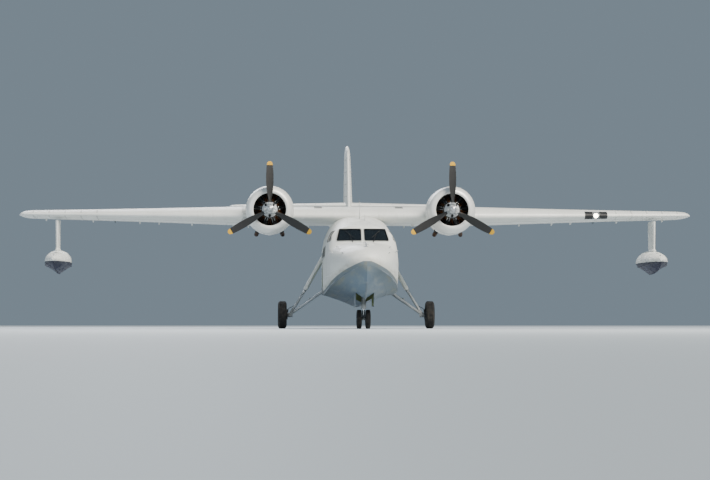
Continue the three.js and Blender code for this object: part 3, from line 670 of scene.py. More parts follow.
finish = {
    "white_paint": {
        "white": sheetPaint("whiteEnamel", paintValues["white"], (0.9, 1.1, 1.3), 0.55),
        "hull": makeHullPaint(),
        "nacelle": makeNacellePaint(),
        "fabric": sheetPaint("dopedFabric", paintValues["white"], (0.01, 0.01, 0.01), 0.5, 0.5, 0.0),
        "cowl": sheetPaint("cowlEnamel", "e3e4e0", (0.01, 0.01, 0.01), 0.35, 0.3, 0.25, (7, 0.4, 7)),
        "seam": sheetPaint("seamEnamel", "b4b7b3", (2, 2, 2), 0.8, 0.5),
        # the dial marks also glow a little, which is painted light: they are no lamp
        "dial": makeLens("dialMarks", "dfe4d8", 0.6),
        "lipRivet": shared["steel"],
        "floatRivet": shared["float"],
    },
    "hull_grey": {
        "chine": sheetPaint("chineEnamel", "566673", (2, 2, 2), 0.8, 0.45),
        "primer": darkPaint("primerGreen", "6c7a4d", 0.55, 0.35),
        "cabin": darkPaint("cabinGrey", "b9bcb2", 0.6, 0.25),
        "deck": darkPaint("deckPaint", "3c4144", 0.7, 0.5, 26.0),
    },
    "float_navy": {"float": shared["float"]},
    "bright_metal": {
        "bare": metalPaint("bareAluminium", "c3c6c8", 0.28, 1.0, 0.25, 24.0, 0.35),
        "chrome": metalPaint("oleoChrome", "d8dadb", 0.1, 1.0, 0.1, 60.0, 0.4),
        "rim": metalPaint("rimEnamel", "b9bdbf", 0.4, 0.4, 0.5, 30.0, 0.1),
    },
    "gear_steel": {"steel": shared["steel"], "darkSteel": shared["darkSteel"]},
    "engine_metal": {
        "engineSteel": shared["darkSteel"],
        "cylinder": metalPaint("cylinderFins", "4b4d4f", 0.5, 0.75, 0.6, 40.0, 0.04),
        "crankcase": darkPaint("crankcaseGrey", "d3d6d8", 0.4, 0.15, 20.0, 0.001),
        # near-black for the inside of each cowl and the baffles behind the cylinders: painted shade for the dark
        # opening of the cowl
        "sootAndShade": darkPaint("cowlShadeBlack", "0d0e0f", 0.75, 0.12),
        "copper": metalPaint("harnessCopper", "8a5a34", 0.4, 0.9, 0.4, 40.0, 0.08),
        "exhaust": makeExhaust(),
    },
    "tyre_rubber": {"rubber": shared["rubber"], "tyre": makeTyre()},
    "seat_cloth": {"seat": makeCloth("seatCanvas", "4a4e3c"), "strap": makeCloth("strapWebbing", "9a9274")},
    "blade_black": {
        "black": darkPaint("panelBlack", "17191b", 0.5, 0.1),
        "grip": shared["rubber"],
        "blade": makeBlade(),
    },
    "tinted_glass": {
        "glass": makeGlass(),
        "cover": makeCover(),
        "redLens": makeLens("redLens", "b01010", 0.4),
        "greenLens": makeLens("greenLens", "0b7a35", 0.4),
        "clearLens": makeLens("clearLens", "e9eef2"),
        "lampGlow": makeLens("lampGlow", "fff6e0", 14.0),
    },
}
paints = {key: made.material for group in finish.values() for key, made in group.items()}
slotOf = {key: slot for slot, group in finish.items() for key in group}

print("materials ready")

# The camera stands on the floor ahead of the nose, a little to starboard, and looks up at the aircraft.
view = {"distance": 80.0, "yaw": radians(2.5), "height": 0.14, "aim": (0.0, 0.0, 3.28), "widthAtWing": 26.3}

studio = {
    "floor": ("bcc5cb", "aeb8bf", 260),
    "sky": ("9db0bf", 0.55),
    "lamps": (
        ("sun", "SUN", (22, -30, 44), (0, 0, 0), radians(24), 3.6, "fffaf2"),
        ("key", "AREA", (24, -34, 34), (0, -2, 3), 20, 24000, "fff6ea"),
        ("fill", "AREA", (-34, -26, 14), (0, 0, 3), 22, 4200, "eaf2ff"),
        ("rim", "AREA", (-12, 38, 28), (0, 2, 4), 24, 13000, "f4f7ff"),
    ),
}


def aimed(name, data, place, target):
    made = bpy.data.objects.new(name, data)
    bpy.context.scene.collection.objects.link(made)
    made.location = place
    made.rotation_euler = (Vector(target) - Vector(place)).to_track_quat("-Z", "Y").to_euler()
    return made


def makeStage():
    scene, v = bpy.context.scene, view
    place = (-sin(v["yaw"]) * v["distance"], -cos(v["yaw"]) * v["distance"], v["height"])
    camera = aimed("camera", bpy.data.cameras.new("camera"), place, v["aim"])
    camera.data.sensor_width = 36
    camera.data.lens, camera.data.clip_end = 36 * v["distance"] / v["widthAtWing"], 600
    scene.camera = camera

    pale, dusty, half = studio["floor"]
    paint = Paint("studioFloor", roughness=0.65)
    paint.set({"Base Color": paint.coats(pale, (paint.noise(0.15, 2) * 0.15, dusty))})
    corners = [(x, y, 0) for x, y in rectangle(-half, -half, half, half)]
    makeObject("floor", makeMesh("floor", corners, [(0, 1, 2, 3)], 0, recalc=False), paint.material)

    world = bpy.data.worlds.new("studio")
    world.use_nodes = True
    back = world.node_tree.nodes["Background"].inputs
    back[0].default_value, back[1].default_value = colour(studio["sky"][0]), studio["sky"][1]
    scene.world = world
    for name, kind, place, target, size, power, tint in studio["lamps"]:
        lamp = aimed(name, bpy.data.lights.new(name, kind), place, target).data
        setattr(lamp, "angle" if kind == "SUN" else "size", size)
        lamp.energy, lamp.color = power, colour(tint)[:3]


makeStage()
print("stage ready")

# Geometry Nodes: rivets along lines, and shapes repeated round an axis


class Tree:
    # A geometry tree with named inputs, which puts its material on what it makes
    def __init__(self, name, **sizes):
        self.tree = bpy.data.node_groups.new(name, "GeometryNodeTree")
        for way in ("INPUT", "OUTPUT"):
            self.tree.interface.new_socket("Geometry", in_out=way, socket_type="NodeSocketGeometry")
        self.names = {}
        for key, (kind, value) in dict(sizes, material=("Material", None)).items():
            made = self.tree.interface.new_socket(key.title(), in_out="INPUT", socket_type="NodeSocket" + kind)
            if value is not None:
                made.default_value = value
            self.names[key] = made.identifier
        self.start = self.node("NodeGroupInput").outputs

    def node(self, kind, inputs=None, **settings):
        made = self.tree.nodes.new(kind)
        for key, value in settings.items():
            setattr(made, key, value)
        for key, value in (inputs or {}).items():
            value = value.outputs[0] if isinstance(value, bpy.types.Node) else value
            if isinstance(value, bpy.types.NodeSocket):
                self.tree.links.new(value, made.inputs[key])
            else:
                made.inputs[key].default_value = value
        return made

    def end(self, shape):
        real = self.node("GeometryNodeRealizeInstances", {"Geometry": shape})
        painted = self.node("GeometryNodeSetMaterial", {"Geometry": real, "Material": self.start["Material"]})
        self.node("NodeGroupOutput", {0: painted})
        return self

    def grow(self, piece, **values):
        # Runs the tree on a piece and keeps the result as its plain mesh
        modifier = piece.modifiers.new("grow", "NODES")
        modifier.node_group = self.tree
        for key, value in values.items():
            modifier[self.names[key]] = value
        return evaluated(piece)


def makeRivetTree():
    # A low button on every step of each line, standing on the surface that the line's "lean" points out of
    tree = Tree("rivetRows", spacing=("Float", 0.09), radius=("Float", 0.008), height=("Float", 0.003))
    curve = tree.node("GeometryNodeMeshToCurve", {"Mesh": tree.start["Geometry"]})
    even = tree.node("GeometryNodeResampleCurve", {"Curve": curve, "Length": tree.start["Spacing"]}, mode="LENGTH")
    top = tree.node("ShaderNodeMath", {0: tree.start["Radius"], 1: 0.6}, operation="MULTIPLY")
    button = tree.node("GeometryNodeMeshCone", {"Vertices": 6, "Radius Top": top, "Radius Bottom": tree.start["Radius"],
                                                "Depth": tree.start["Height"]}, fill_type="NGON")
    lean = tree.node("GeometryNodeInputNamedAttribute", {"Name": "lean"}, data_type="FLOAT_VECTOR")
    turn = tree.node("FunctionNodeAlignRotationToVector", {"Vector": lean.outputs["Attribute"]}, axis="Z")
    rows = tree.node("GeometryNodeInstanceOnPoints",
                     {"Points": even, "Instance": button.outputs["Mesh"], "Rotation": turn})
    return tree.end(rows)


def makeRingTree():
    # The shape given, repeated round a line through the origin along Y
    tree = Tree("roundRepeat", count=("Int", 9), phase=("Float", 0.0))
    points = tree.node("GeometryNodePoints", {"Count": tree.start["Count"], "Radius": 0.01})
    share = tree.node("ShaderNodeMath", {0: tree.node("GeometryNodeInputIndex"), 1: tree.start["Count"]},
                      operation="DIVIDE")
    angle = tree.node("ShaderNodeMath", {0: share, 1: 2 * pi, 2: tree.start["Phase"]}, operation="MULTIPLY_ADD")
    turn = tree.node("FunctionNodeAxisAngleToRotation", {"Axis": (0, 1, 0), "Angle": angle})
    copies = tree.node("GeometryNodeInstanceOnPoints",
                       {"Points": points, "Instance": tree.start["Geometry"], "Rotation": turn})
    return tree.end(copies)


rivetTree, ringTree = makeRivetTree(), makeRingTree()


def rivets(name, lines, paint, spacing, radius=0.006, height=0.004, body="airframe"):
    # Each line is a list of (point, normal)
    mesh = bpy.data.meshes.new(name)
    verts, edges, leans = [], [], []
    for line in lines:
        edges += [(len(verts) + i, len(verts) + i + 1) for i in range(len(line) - 1)]
        verts += [tuple(p) for p, _ in line]
        leans += [c for _, n in line for c in n]
    mesh.from_pydata(verts, edges, [])
    mesh.attributes.new("lean", "FLOAT_VECTOR", "POINT").data.foreach_set("vector", leans)
    piece = rivetTree.grow(makeObject(name, mesh), spacing=spacing, radius=radius, height=height,
                           material=paints[paint])
    return done(paintByHeight(piece) if paint == "hull" else piece, paint, body)


def ringed(piece, paint, count, centre, phase=0.0, body="airframe", replaces=""):
    # A piece drawn about the origin, repeated round Y, then put at its centre
    ringTree.grow(piece, count=count, phase=phase, material=paints[paint])
    piece.data.transform(Matrix.Translation(centre))
    return done(piece, paint, body, replaces)


def repeated(bag, name, count, centre, paint, phase=0.0, smooth=40, body="airframe"):
    return ringed(bag.piece(name, paint, smooth), paint, count, centre, phase, body)


def strip(bag, line, width, height, close=False):
    # A flat raised strap along a line of (point, normal)
    rings, last = [], len(line) - 1
    for i, (p, n) in enumerate(line):
        if close:
            before, after = line[i - 1], line[(i + 1) % (last + 1)]
        else:
            before, after = line[max(i - 1, 0)], line[min(i + 1, last)]
        n = Vector(n).normalized()
        across = (after[0] - before[0]).cross(n).normalized() * (width / 2)
        low, top = p - n * 0.002, p + n * height
        rings.append([low - across, low + across, top + across * 0.85, top - across * 0.85])
    return bag.loft(rings + rings[:1] if close else rings, capStart=not close, capEnd=not close)


def lifted(line, lift, shift=None):
    return [(p + n * lift + (shift or vec()), n) for p, n in line]


def clipped(line, test):
    # The stretches of a line that pass a test
    parts, current = [], []
    for item in line + [None]:
        if item and test(item[0]):
            current.append(item)
        else:
            parts.append(current)
            current = []
    return [part for part in parts if len(part) > 1]


print("trees ready")

# The hull

hullShape = Boat(hullRows)

hullValues = {
    "spacing": 0.12,                    # between the stations of the skin, with more round the windscreen
    "windscreen": (2.8, 4.0, 34),
    "bottom": 12, "side": 8, "crown": 24,
    "wall": 0.1,
    "cabin": (3.02, 12.1),
    "floor": 1.652,
    "paintLine": 0.12,                  # above the chine
    "well": (8.35, 1.83, 0.54, 0.93),   # station, height, radius and inner face
    "noseBay": (0.32, 1.65, 2.9, 1.7),
}

windowValues = {
    "pane": ((0.048, 3.0), (0.9, 3.0), (0.79, 3.43), (0.048, 3.43)),     # (x, z) as seen from ahead
    "side": ((3.4, 3.01), (4.56, 3.01), (4.56, 3.38), (3.88, 3.38)),     # (station, z) as seen from the side
    "cabin": {"left": (5.35, 6.35, 7.35, 9.6), "right": (5.35, 6.35, 7.35, 9.6, 10.75)},
    "cabinSize": (0.46, 0.36, 2.72),                                     # length, height and middle
    "doorWindow": 10.72,
    # where straps and rivets keep off the windscreen and the side glass: stations, foot and top
    "keepOff": ((2.9, 3.75, 2.93, 9.0), (2.95, 4.7, 2.93, 3.45)),
    # frame width, height and margin, then the same for the seal
    "frames": {"pane": (0.045, 0.012, 0.018, 0.016, 0.016, -0.004), "side": (0.045, 0.01, 0.018, 0.014, 0.014, -0.004),
               "cabin": (0.04, 0.008, 0.022, 0.012, 0.012, -0.002)},
    # the depths of the glass and the part of the skin that it is cut from
    "glass": {"pane": (0.02, 0.034, 24, 2.05, 3.0, 40), "side": (0.02, 0.034, 16, 2.2, 2.85, 24),
              "cabin": (0.03, 0.044, 6, 1.9, 2.5, 20)},
}

doorValues = {
    "front": 10.3, "back": 11.2, "bottom": 1.7, "top": 3.2, "hingeX": 1.215, "slant": 0.3, "gap": 0.008,
    "thick": 0.075,
    "straps": (2.0, 2.35, 3.02),         # heights
    "hinges": (1.95, 2.95),
    "handle": (11.03, 2.38),
    "step": (0.12, 10.45, 11.0, 1.62),   # reach, both ends and height
}


def hullParams():
    bottom, side, crown = (hullValues[key] for key in ("bottom", "side", "crown"))
    return spread(0, 1, bottom)[:-1] + spread(1, 2, side)[:-1] + spread(2, 3, crown)


def innerRing(s, inset, lift=0.0):
    # The inside of the hull, cut off level at the floor
    ring = hullShape.ring(s, [u for u in hullParams() if u > 0.55], inset)
    return [vec(p.x, p.y, max(p.z, hullValues["floor"] + lift)) for p in ring]


def cabinCutter():
    first, last = hullValues["cabin"]
    stations = [first] + [s for s in hullShape.stations(0.3) if first < s < last] + [last]
    return Bag().loft([innerRing(s, hullValues["wall"]) for s in stations]).piece("cabinCutter", "cabin")


def windowOutline(kind, station, grow):
    if kind == "cabin":
        long, high, z = windowValues["cabinSize"]
        u, v = long / 2 + grow, high / 2 + grow
        return outline(rectangle(station - u, z - v, station + u, z + v), 0.09 + grow)
    corners = [Vector(p) for p in windowValues[kind]]
    middle = sum(corners, Vector((0, 0))) / len(corners)
    return outline([p + (p - middle).normalized() * grow * 1.4 for p in corners], 0.045 + grow, 4)


def windowPrism(kind, side, station, grow=0.0, paint=None):
    points = windowOutline(kind, station, grow)
    if kind == "pane":
        return Bag(side).loft([[(x, s, z) for x, z in points] for s in (2.9, 3.9)]).piece("paneCutter", paint)
    return Bag(side).loft([[(x, s, z) for s, z in points] for x in (0.7, 1.4)]).piece("windowCutter", paint)


def doorRectangle(margin, slant=0.0):
    v = doorValues
    return rectangle(v["front"] - margin, v["bottom"] - margin, v["back"] + margin + slant, v["top"] + margin)


def doorPrism(gap):
    # Long sides are left whole, so that both rings have the same number of points
    rings = []
    for x in (0.8, 1.4):
        corners = doorRectangle(-gap, (x - doorValues["hingeX"]) * doorValues["slant"])
        rings.append([(x, s, z) for s, z in outline(corners, 0.13, 6, 9)])
    return Bag().loft(rings).piece("doorCutter", "primer")


def skinPatch(name, stations, params, side, outer, inner, paint):
    # A closed sheet of the hull's own curve between two depths
    rings = [[hullShape.point(s, u, side, outer) for u in params]
             + [hullShape.point(s, u, side, inner) for u in params[::-1]] for s in stations]
    return Bag().loft(rings).piece(name, paint)


def paintByHeight(piece):
    # Keeps the height above the paint line, which the hull's enamel reads
    heights = [p.co.z - hullShape.section(p.co.y + layout["halfLength"]).chine - hullValues["paintLine"]
               for p in piece.data.vertices]
    return keep(piece, "aboveChine", heights)


def makeHull():
    v, tools = hullValues, [cabinCutter(), doorPrism(0.0)]
    stations = sorted(set(hullShape.stations(v["spacing"]) + spread(*v["windscreen"])))
    skin = Bag().loft([hullShape.ring(s, hullParams()) for s in stations]).piece("hullSkin", "hull")
    station, z, radius, inner = v["well"]
    for label, side in sides:
        windows = [("pane", 0), ("side", 0)] + [("cabin", s) for s in windowValues["cabin"][label]]
        tools += [windowPrism(kind, side, s, paint="seam") for kind, s in windows]
        tools.append(Bag(side).tube([(inner, station, z), (1.4, station, z)], radius, 48).piece("wellCutter", "primer"))
    half, front, back, top = v["noseBay"]
    tools.append(Bag().box((-half, front, 0.4), (half, back, top)).piece("bayCutter", "primer"))
    boolean(skin, tools, smooth=32)
    return done(paintByHeight(skin), "hull", replaces="bow hull_bottom wall_left wall_right roof canopy tail_cone")


hullSkin = makeHull()
print("hull skin", len(hullSkin.data.polygons))


def sidePoint(s, z, side, lift=0.0):
    return hullShape.on(s, hullShape.widthAt(s, z), side, lift)


def facePoint(x, z, side, lift=0.0):
    # The place on the windscreen that shows at this distance out and height from ahead
    def shares(s):
        _, _, _, sideZ, half, top, power = hullShape.section(s)
        return max((z - sideZ) / max(top - sideZ, 1e-6), 0) ** power, (x / half) ** power

    s = halved(2.0, 4.4, lambda s: sum(shares(s)) <= 1, 40)
    up, out = shares(s)
    u = 2 + atan2(sqrt(up), sqrt(out)) / (pi / 2)
    n = hullShape.normal(s, min(u, 2.98), side)
    return hullShape.point(s, u, side) + n * lift, n


def rim(bag, kind, side, width, height, margin, station):
    place = (lambda x, z: facePoint(max(x, 0.03), z, side)) if kind == "pane" else (lambda s, z: sidePoint(s, z, side))
    strip(bag, [place(*p) for p in windowOutline(kind, station, margin)], width, height, close=True)


def windowFrames():
    frames, seals = Bag(), Bag()
    for label, side in sides:
        for kind, station in [("pane", 0), ("side", 0)] + [("cabin", s) for s in windowValues["cabin"][label]]:
            sizes = windowValues["frames"][kind]
            rim(frames, kind, side, *sizes[:3], station)
            rim(seals, kind, side, *sizes[3:], station)
        strip(frames, [sidePoint(4.16, z, side) for z in spread(3.0, 3.39, 6)], 0.04, 0.012)  # mullion
    frames.make("windowFrames", "seam", 30)
    seals.make("windowSeals", "rubber", 30)


def glassSheet(name, kind, side, station=0.0):
    outer, inner, steps, first, last, around = windowValues["glass"][kind]
    ends = {"pane": (2.93, 3.8), "side": (3.36, 4.6), "cabin": (station - 0.26, station + 0.26)}[kind]
    sheet = skinPatch(name, spread(*ends, steps), spread(first, last, around), side, outer, inner, "glass")
    return boolean(sheet, [windowPrism(kind, side, station, 0.003)], "INTERSECT", 25)


def makeGlazing():
    for label, side in sides:
        done(glassSheet(f"windscreenGlass_{label}", "pane", side), "glass", replaces=f"windshield_{label}")
        done(glassSheet(f"sideGlass_{label}", "side", side), "glass", replaces=f"side_window_{label}")
        panes = [glassSheet("cabinPane", "cabin", side, s) for s in windowValues["cabin"][label]]
        done(joined(f"cabinGlass_{label}", panes), "glass", replaces=f"cabin_glazing_{label}")
    done(glassSheet("doorGlass", "cabin", 1, windowValues["doorWindow"]), "glass", "cabin_door", "door_window")


windowFrames()
makeGlazing()
print("glass ready")

# The cabin door, its frame and its handle


def makeDoor():
    v, window = doorValues, windowValues["doorWindow"]

    def onSkin(bag, points, width, height, close=False):
        line = [sidePoint(s, z, 1) for s, z in points]
        strip(bag, line, width, height, close)
        return line

    stations = spread(v["front"] - 0.05, v["back"] + 0.1, 16)
    sheet = skinPatch("cabinDoorPanel", stations, spread(1.2, 2.75, 44), 1, 0.0, v["thick"], "hull")
    boolean(sheet, [doorPrism(v["gap"])], "INTERSECT")
    boolean(sheet, [windowPrism("cabin", 1, window)])
    done(paintByHeight(sheet), "hull", "cabin_door", "cabin_door")

    frames = Bag()
    rim(frames, "cabin", 1, *windowValues["frames"]["cabin"][:3], window)
    edge = rectangle(v["front"] + 0.05, v["bottom"] + 0.05, v["back"] - 0.06, v["top"] - 0.05)
    onSkin(frames, outline(edge, 0.09, 6), 0.05, 0.004, True)
    for z in v["straps"]:
        onSkin(frames, [(s, z) for s in spread(v["front"] + 0.08, v["back"] - 0.09, 8)], 0.035, 0.005)
    frames.make("doorStraps", "seam", 30, "cabin_door")

    metal = Bag()
    p, n = sidePoint(*v["handle"], 1)
    metal.stack(p, n, 20, (-0.01, 0.045), (0.02, 0.045)).stack(p, n, 14, (0.02, 0.018), (0.045, 0.018))
    metal.tube([p + n * 0.04 + vec(y=0.02), p + n * 0.045 - vec(y=0.07), p + n * 0.038 - vec(y=0.15, z=0.01)],
               [0.014, 0.012, 0.009])
    for z in v["hinges"]:
        p, n = sidePoint(v["front"] + 0.075, z, 1)
        metal.stack(p + n * 0.004, (0, 0, 1), 12, (-0.06, 0.012), (0.06, 0.012))
        metal.box(p - vec(0.006, 0.01, 0.05), p + vec(0.006, 0.09, 0.05), bevel=0.003)
    metal.make("doorFittings", "bare", 40, "cabin_door")

    around = Bag()
    line = onSkin(around, outline(doorRectangle(0.035), 0.15, 8), 0.05, 0.004, True)
    around.make("doorwayStrap", "seam", 30)
    rivets("doorwayRivets", [lifted(line + line[:1], 0.004)], "seam", 0.045, 0.006, 0.003)

    step, (out, s0, s1, z) = Bag(), v["step"]
    for s in (s0, s1):
        p, n = sidePoint(s, z, 1)
        step.tube([p - n * 0.02, p + n * 0.1, p + n * out - vec(z=0.02)], 0.012)
    a, b = (sidePoint(s, z, 1, out)[0] for s in (s0, s1))
    step.tube([a - vec(y=0.02, z=0.02), b + vec(y=0.02, z=-0.02)], 0.014)
    step.make("doorStep", "bare", 40)


makeDoor()
print("door ready")

# Straps, rivets, chines and keel on the hull

trimValues = {
    "frames": (0.9, 0.62, 28),    # first station, spacing and number of the rings of straps
    "rivetSpacing": 0.085,
    "strapWidth": 0.05,
    "stringers": ((1.5, 0.7, 17.2), (2.0, 0.5, 18.0), (2.28, 3.1, 17.6), (2.6, 4.8, 16.6), (2.86, 4.9, 15.2)),
    # width and height of each rail, then the stretches that the rails and the bottom's rivets run over, which leave out
    # the step and, on the keel, the nose bay
    "chineRail": (0.075, 0.022),
    "keelStrip": (0.07, 0.02),
    "step": 9.4,
    "chineRuns": ((0.12, 9.38), (9.43, 14.4)),
    "keelRuns": ((0.25, 1.62), (2.93, 9.39), (9.42, 15.0)),
    "bottomRuns": ((0.9, 9.38), (9.45, 14.6)),
    "bottomRows": (0.35, 0.68),
}


def clearOf(point, side):
    # True where a strap or rivet would not cross a window, the door, a wheel well or the nose bay
    s, z = point.y + layout["halfLength"], point.z
    long, high, middle = windowValues["cabinSize"]
    glass = windowValues["cabin"]["left" if side > 0 else "right"] + ((windowValues["doorWindow"],) if side > 0 else ())
    if any(abs(s - w) < long / 2 + 0.06 and abs(z - middle) < high / 2 + 0.06 for w in glass):
        return False
    v = doorValues
    if side > 0 and v["front"] - 0.07 < s < v["back"] + 0.07 and v["bottom"] - 0.07 < z < v["top"] + 0.07:
        return False
    station, height, radius, inner = hullValues["well"]
    if abs(point.x) > inner and hypot(s - station, z - height) < radius + 0.05:
        return False
    half, front, back, top = hullValues["noseBay"]
    if abs(point.x) < half + 0.03 and front - 0.04 < s < back + 0.04 and z < top:
        return False
    return not any(first < s < last and low < z <= high for first, last, low, high in windowValues["keepOff"])


def makeHullTrim():
    v = trimValues
    straps, rows, rails = Bag(), [], Bag()
    around = [1.03] + spread(1.1, 1.9, 8) + spread(2.0, 3.0, 24)
    first, spacing, count = v["frames"]
    for side in bothWays:
        def clear(line):
            return clipped(line, lambda p: clearOf(p, side))

        for s in (first + spacing * k for k in range(count)):
            if abs(s - v["step"]) > 0.1:
                for part in clear([hullShape.on(s, u, side) for u in around]):
                    rows.extend(lifted(part, 0, vec(y=dy)) for dy in (0.018, -0.018))
                    strip(straps, part, v["strapWidth"] + 0.02, 0.0022)
                rows.extend(clear([hullShape.on(s, u, side) for u in spread(0.06, 0.96, 10)]))
        for u, low, high in v["stringers"]:
            for part in clear([hullShape.on(s, u, side) for s in spread(low, high, 120)]):
                strip(straps, part, v["strapWidth"], 0.003)
                rows.append(lifted(part, 0.003, vec(z=0.014)))
        for u in v["bottomRows"]:
            for low, high in v["bottomRuns"]:
                rows.extend(clear([hullShape.on(s, u, side) for s in spread(low, high, 80)]))
    straps.make("hullStraps", "hull", 30)
    for name, upper in (("hullRivetsUpper", True), ("hullRivetsLower", False)):
        rivets(name, [row for row in rows if (row[0][0].z > 1.9) == upper], "hull", v["rivetSpacing"], 0.0075, 0.006)

    width, height = v["chineRail"]
    for side in bothWays:
        for low, high in v["chineRuns"]:
            rings = []
            for i, s in enumerate(spread(low, high, 90)):
                taper = min(1.0, i / 8, (90 - i) / 5 + 0.15) + 0.05
                shape = ((-width / 2, 0), (0.012, 0.016), (height * taper, -0.004),
                         (0.8 * height * taper, -0.02 * taper), (-0.03, -0.012))
                rings.append([hullShape.point(s, 1.0, side) + vec(side * x, 0, z) for x, z in shape])
            rails.loft(rings)
    width, height = v["keelStrip"]
    half = [(width / 2, 0.012), (width / 2, -height * 0.4), (width * 0.3, -height)]
    for low, high in v["keelRuns"]:
        shape = [(-x, z) for x, z in half] + half[::-1]
        rails.loft([[hullShape.point(s, 0.0) + vec(x, 0, z) for x, z in shape] for s in spread(low, high, 60)])
    rails.make("chineRails", "chine", 35)


makeHullTrim()
print("hull trim ready")

# Aerofoils: the wing, the tailplane and the fin share these

foilValues = {"cove": 0.012, "lip": 0.005, "nose": 26, "arc": 12, "tail": 8, "peak": 0.3}


def halfThickness(t, x):
    return 5 * t * (0.2969 * sqrt(max(x, 0)) - 0.126 * x - 0.3516 * x**2 + 0.2843 * x**3 - 0.1015 * x**4)


def camberLine(x, camber):
    peak = foilValues["peak"]
    rise = 2 * peak * x - x * x
    return camber / peak**2 * rise if x < peak else camber / (1 - peak) ** 2 * (1 - 2 * peak + rise)


class Foil:
    # One section measured from its hinge line: along is aft of the hinge and up is above it
    def __init__(self, fore, aft, t, lips=None, camber=0.0, tilt=0.0):
        self.fore, self.chord, self.t, self.lips, self.camber, self.tilt = fore, fore + aft, t, lips, camber, tilt
        self.hinge = fore / self.chord
        self.radius = halfThickness(t, self.hinge) * self.chord

    def skin(self, x, sign):
        middle = (camberLine(x, self.camber) - camberLine(self.hinge, self.camber)) * self.chord
        return x * self.chord - self.fore, middle + sign * halfThickness(self.t, x) * self.chord

    def lipAngle(self, sign, reach):
        # The cove's edge goes round as far as the moving part allows and leaves the lip some thickness
        angle = self.lips[0 if sign > 0 else 1]
        while angle < 170:
            skin = self.skin((reach * cos(radians(angle)) + self.fore) / self.chord, sign)[1]
            if abs(skin) > reach * sin(radians(angle)) + foilValues["lip"]:
                break
            angle += 1
        return angle

    def points(self, part):
        v, reach = foilValues, self.radius + foilValues["cove"]
        if part == "moving":
            found = [self.skin(x, 1) for x in spread(1, self.hinge, v["tail"])[:-1]]
            found += [(self.radius * cos(a), self.radius * sin(a)) for a in spread(pi / 2, 3 * pi / 2, v["arc"])]
            found += [self.skin(x, -1) for x in spread(self.hinge, 1, v["tail"])[1:]]
        else:
            ends, arc = (1.0, 1.0), []
            if part == "fixed":
                upper, lower = (radians(self.lipAngle(sign, reach)) for sign in bothWays)
                ends = [(reach * cos(a) + self.fore) / self.chord for a in (upper, lower)]
                arc = [(reach * cos(a), reach * sin(a)) for a in spread(2 * pi - lower, upper, v["arc"])]
            turns = spread(0, pi / 2, v["nose"])
            found = [self.skin(ends[0] * (1 - sin(a)), 1) for a in turns]
            found += [self.skin(ends[1] * (1 - cos(a)), -1) for a in turns[1:]] + arc
        return [self.tilted(p) for p in found]

    def tilted(self, p):
        return p[0], p[1] - p[0] * sin(self.tilt)

    def at(self, along, sign, lift=0.0):
        # A point on the skin this far aft of the hinge, and the way out of the skin there
        x = min(max((along + self.fore) / self.chord, 0.0005), 0.999)
        before, here, after = (Vector(self.tilted(self.skin(place, sign)))
                               for place in (max(x - 0.004, 0.0001), x, min(x + 0.004, 1)))
        n = Vector((before.y - after.y, after.x - before.x)).normalized() * sign
        return here + n * lift, n


class Surface:
    # A wing, tailplane or fin: its section at each place out, and where a point of a section lies
    def __init__(self, foil, place):
        self.foil, self.place = foil, place

    def rings(self, side, outs, part, *lips):
        return [[self.place(side, out, p) for p in self.foil(out, *lips).points(part)] for out in outs]

    def tip(self, side, outer, table, back, steps):
        rings = []
        for k in range(steps + 1):
            away = -back * (1 - sin(pi / 2 * k / steps))
            points, (scale, thin) = self.foil(outer + away).points("whole"), table(away)
            centre = lerp(min(p[0] for p in points), max(p[0] for p in points), 0.45)
            rings.append([self.place(side, outer + away, (centre + (p[0] - centre) * scale, p[1] * thin))
                          for p in points])
        return rings

    def spot(self, side, out, share, sign, lift=0.0):
        # The place at a share of the chord, above or below, and the way out of the skin
        foil = self.foil(out)
        p, n = foil.at(share * foil.chord - foil.fore, sign, lift)
        here = self.place(side, out, p)
        return here, (self.place(side, out, p + n) - here).normalized()

    def chord(self, side, out, shares, sign, lift=0.0):
        return [self.spot(side, out, share, sign, lift) for share in shares]

    def span(self, side, outs, share, sign):
        return [self.spot(side, out, share, sign) for out in outs]


wingValues = {
    "chords": (3.8, 1.95),         # at the joint and at the end, as are the thicknesses
    "thicknesses": (0.17, 0.12),
    "camber": 0.025,
    "fore": 0.75,                  # the share of the chord ahead of the hinge line
    "lips": (114, 114),            # how far round the ailerons' cove goes, above and below
    "centreLips": (92, 132),       # the same for the flaps' cove
    "centreTail": 1.272,
    "tip": 0.48,
    "light": (8.48, 8.72, 0.19),
    "jackPad": (2.0, 7.0, 3.69, 0.07),
    "spars": (0.13, 0.3, 0.52, 0.69),
    "ribs": spread(1.3, 4.0, 4) + spread(4.14, 11.66, 13),
    "strap": 0.05,
    "tab": (8.2, 9.5, 0.93),       # both ends and the share of the chord
    "tabHorn": 8.85,
    "fillerCaps": ((1.9, 0.42), (3.9, 0.4), (4.7, 0.38), (6.2, 0.4)),
    "panels": (4.6, 5.5, 6.4, 7.8, 8.9, 10.0, 11.0),
    "panelSize": (0.11, 0.17),
    "hingeArms": (1.75, 3.95, 4.5, 6.0, 7.2, 7.9, 9.6, 11.3),
}

tailValues = {
    "outer": 4.725, "tip": 0.29, "tailSpars": (0.14, 0.42), "finSpars": (0.25, 0.6, 0.92),
    # stations of the leading and trailing edge, and thickness, at the root and at the end
    "tailplane": ((14.97, 17.32, 0.12), (15.62, 16.97, 0.1)),
    "lips": (118, 118),
    "finFoot": 3.25, "finCap": 6.89, "finTop": 7.39,
    # the dorsal fillet: its ends, then station and height of its crest
    "dorsal": (12.3, 14.95),
    "crest": ((12.3, 3.6), (13, 3.7), (13.6, 3.88), (14.4, 4.25), (15, 5)),
    "beacon": (17.05, 7.36),
    "lamp": (18.46, 3.26),
}

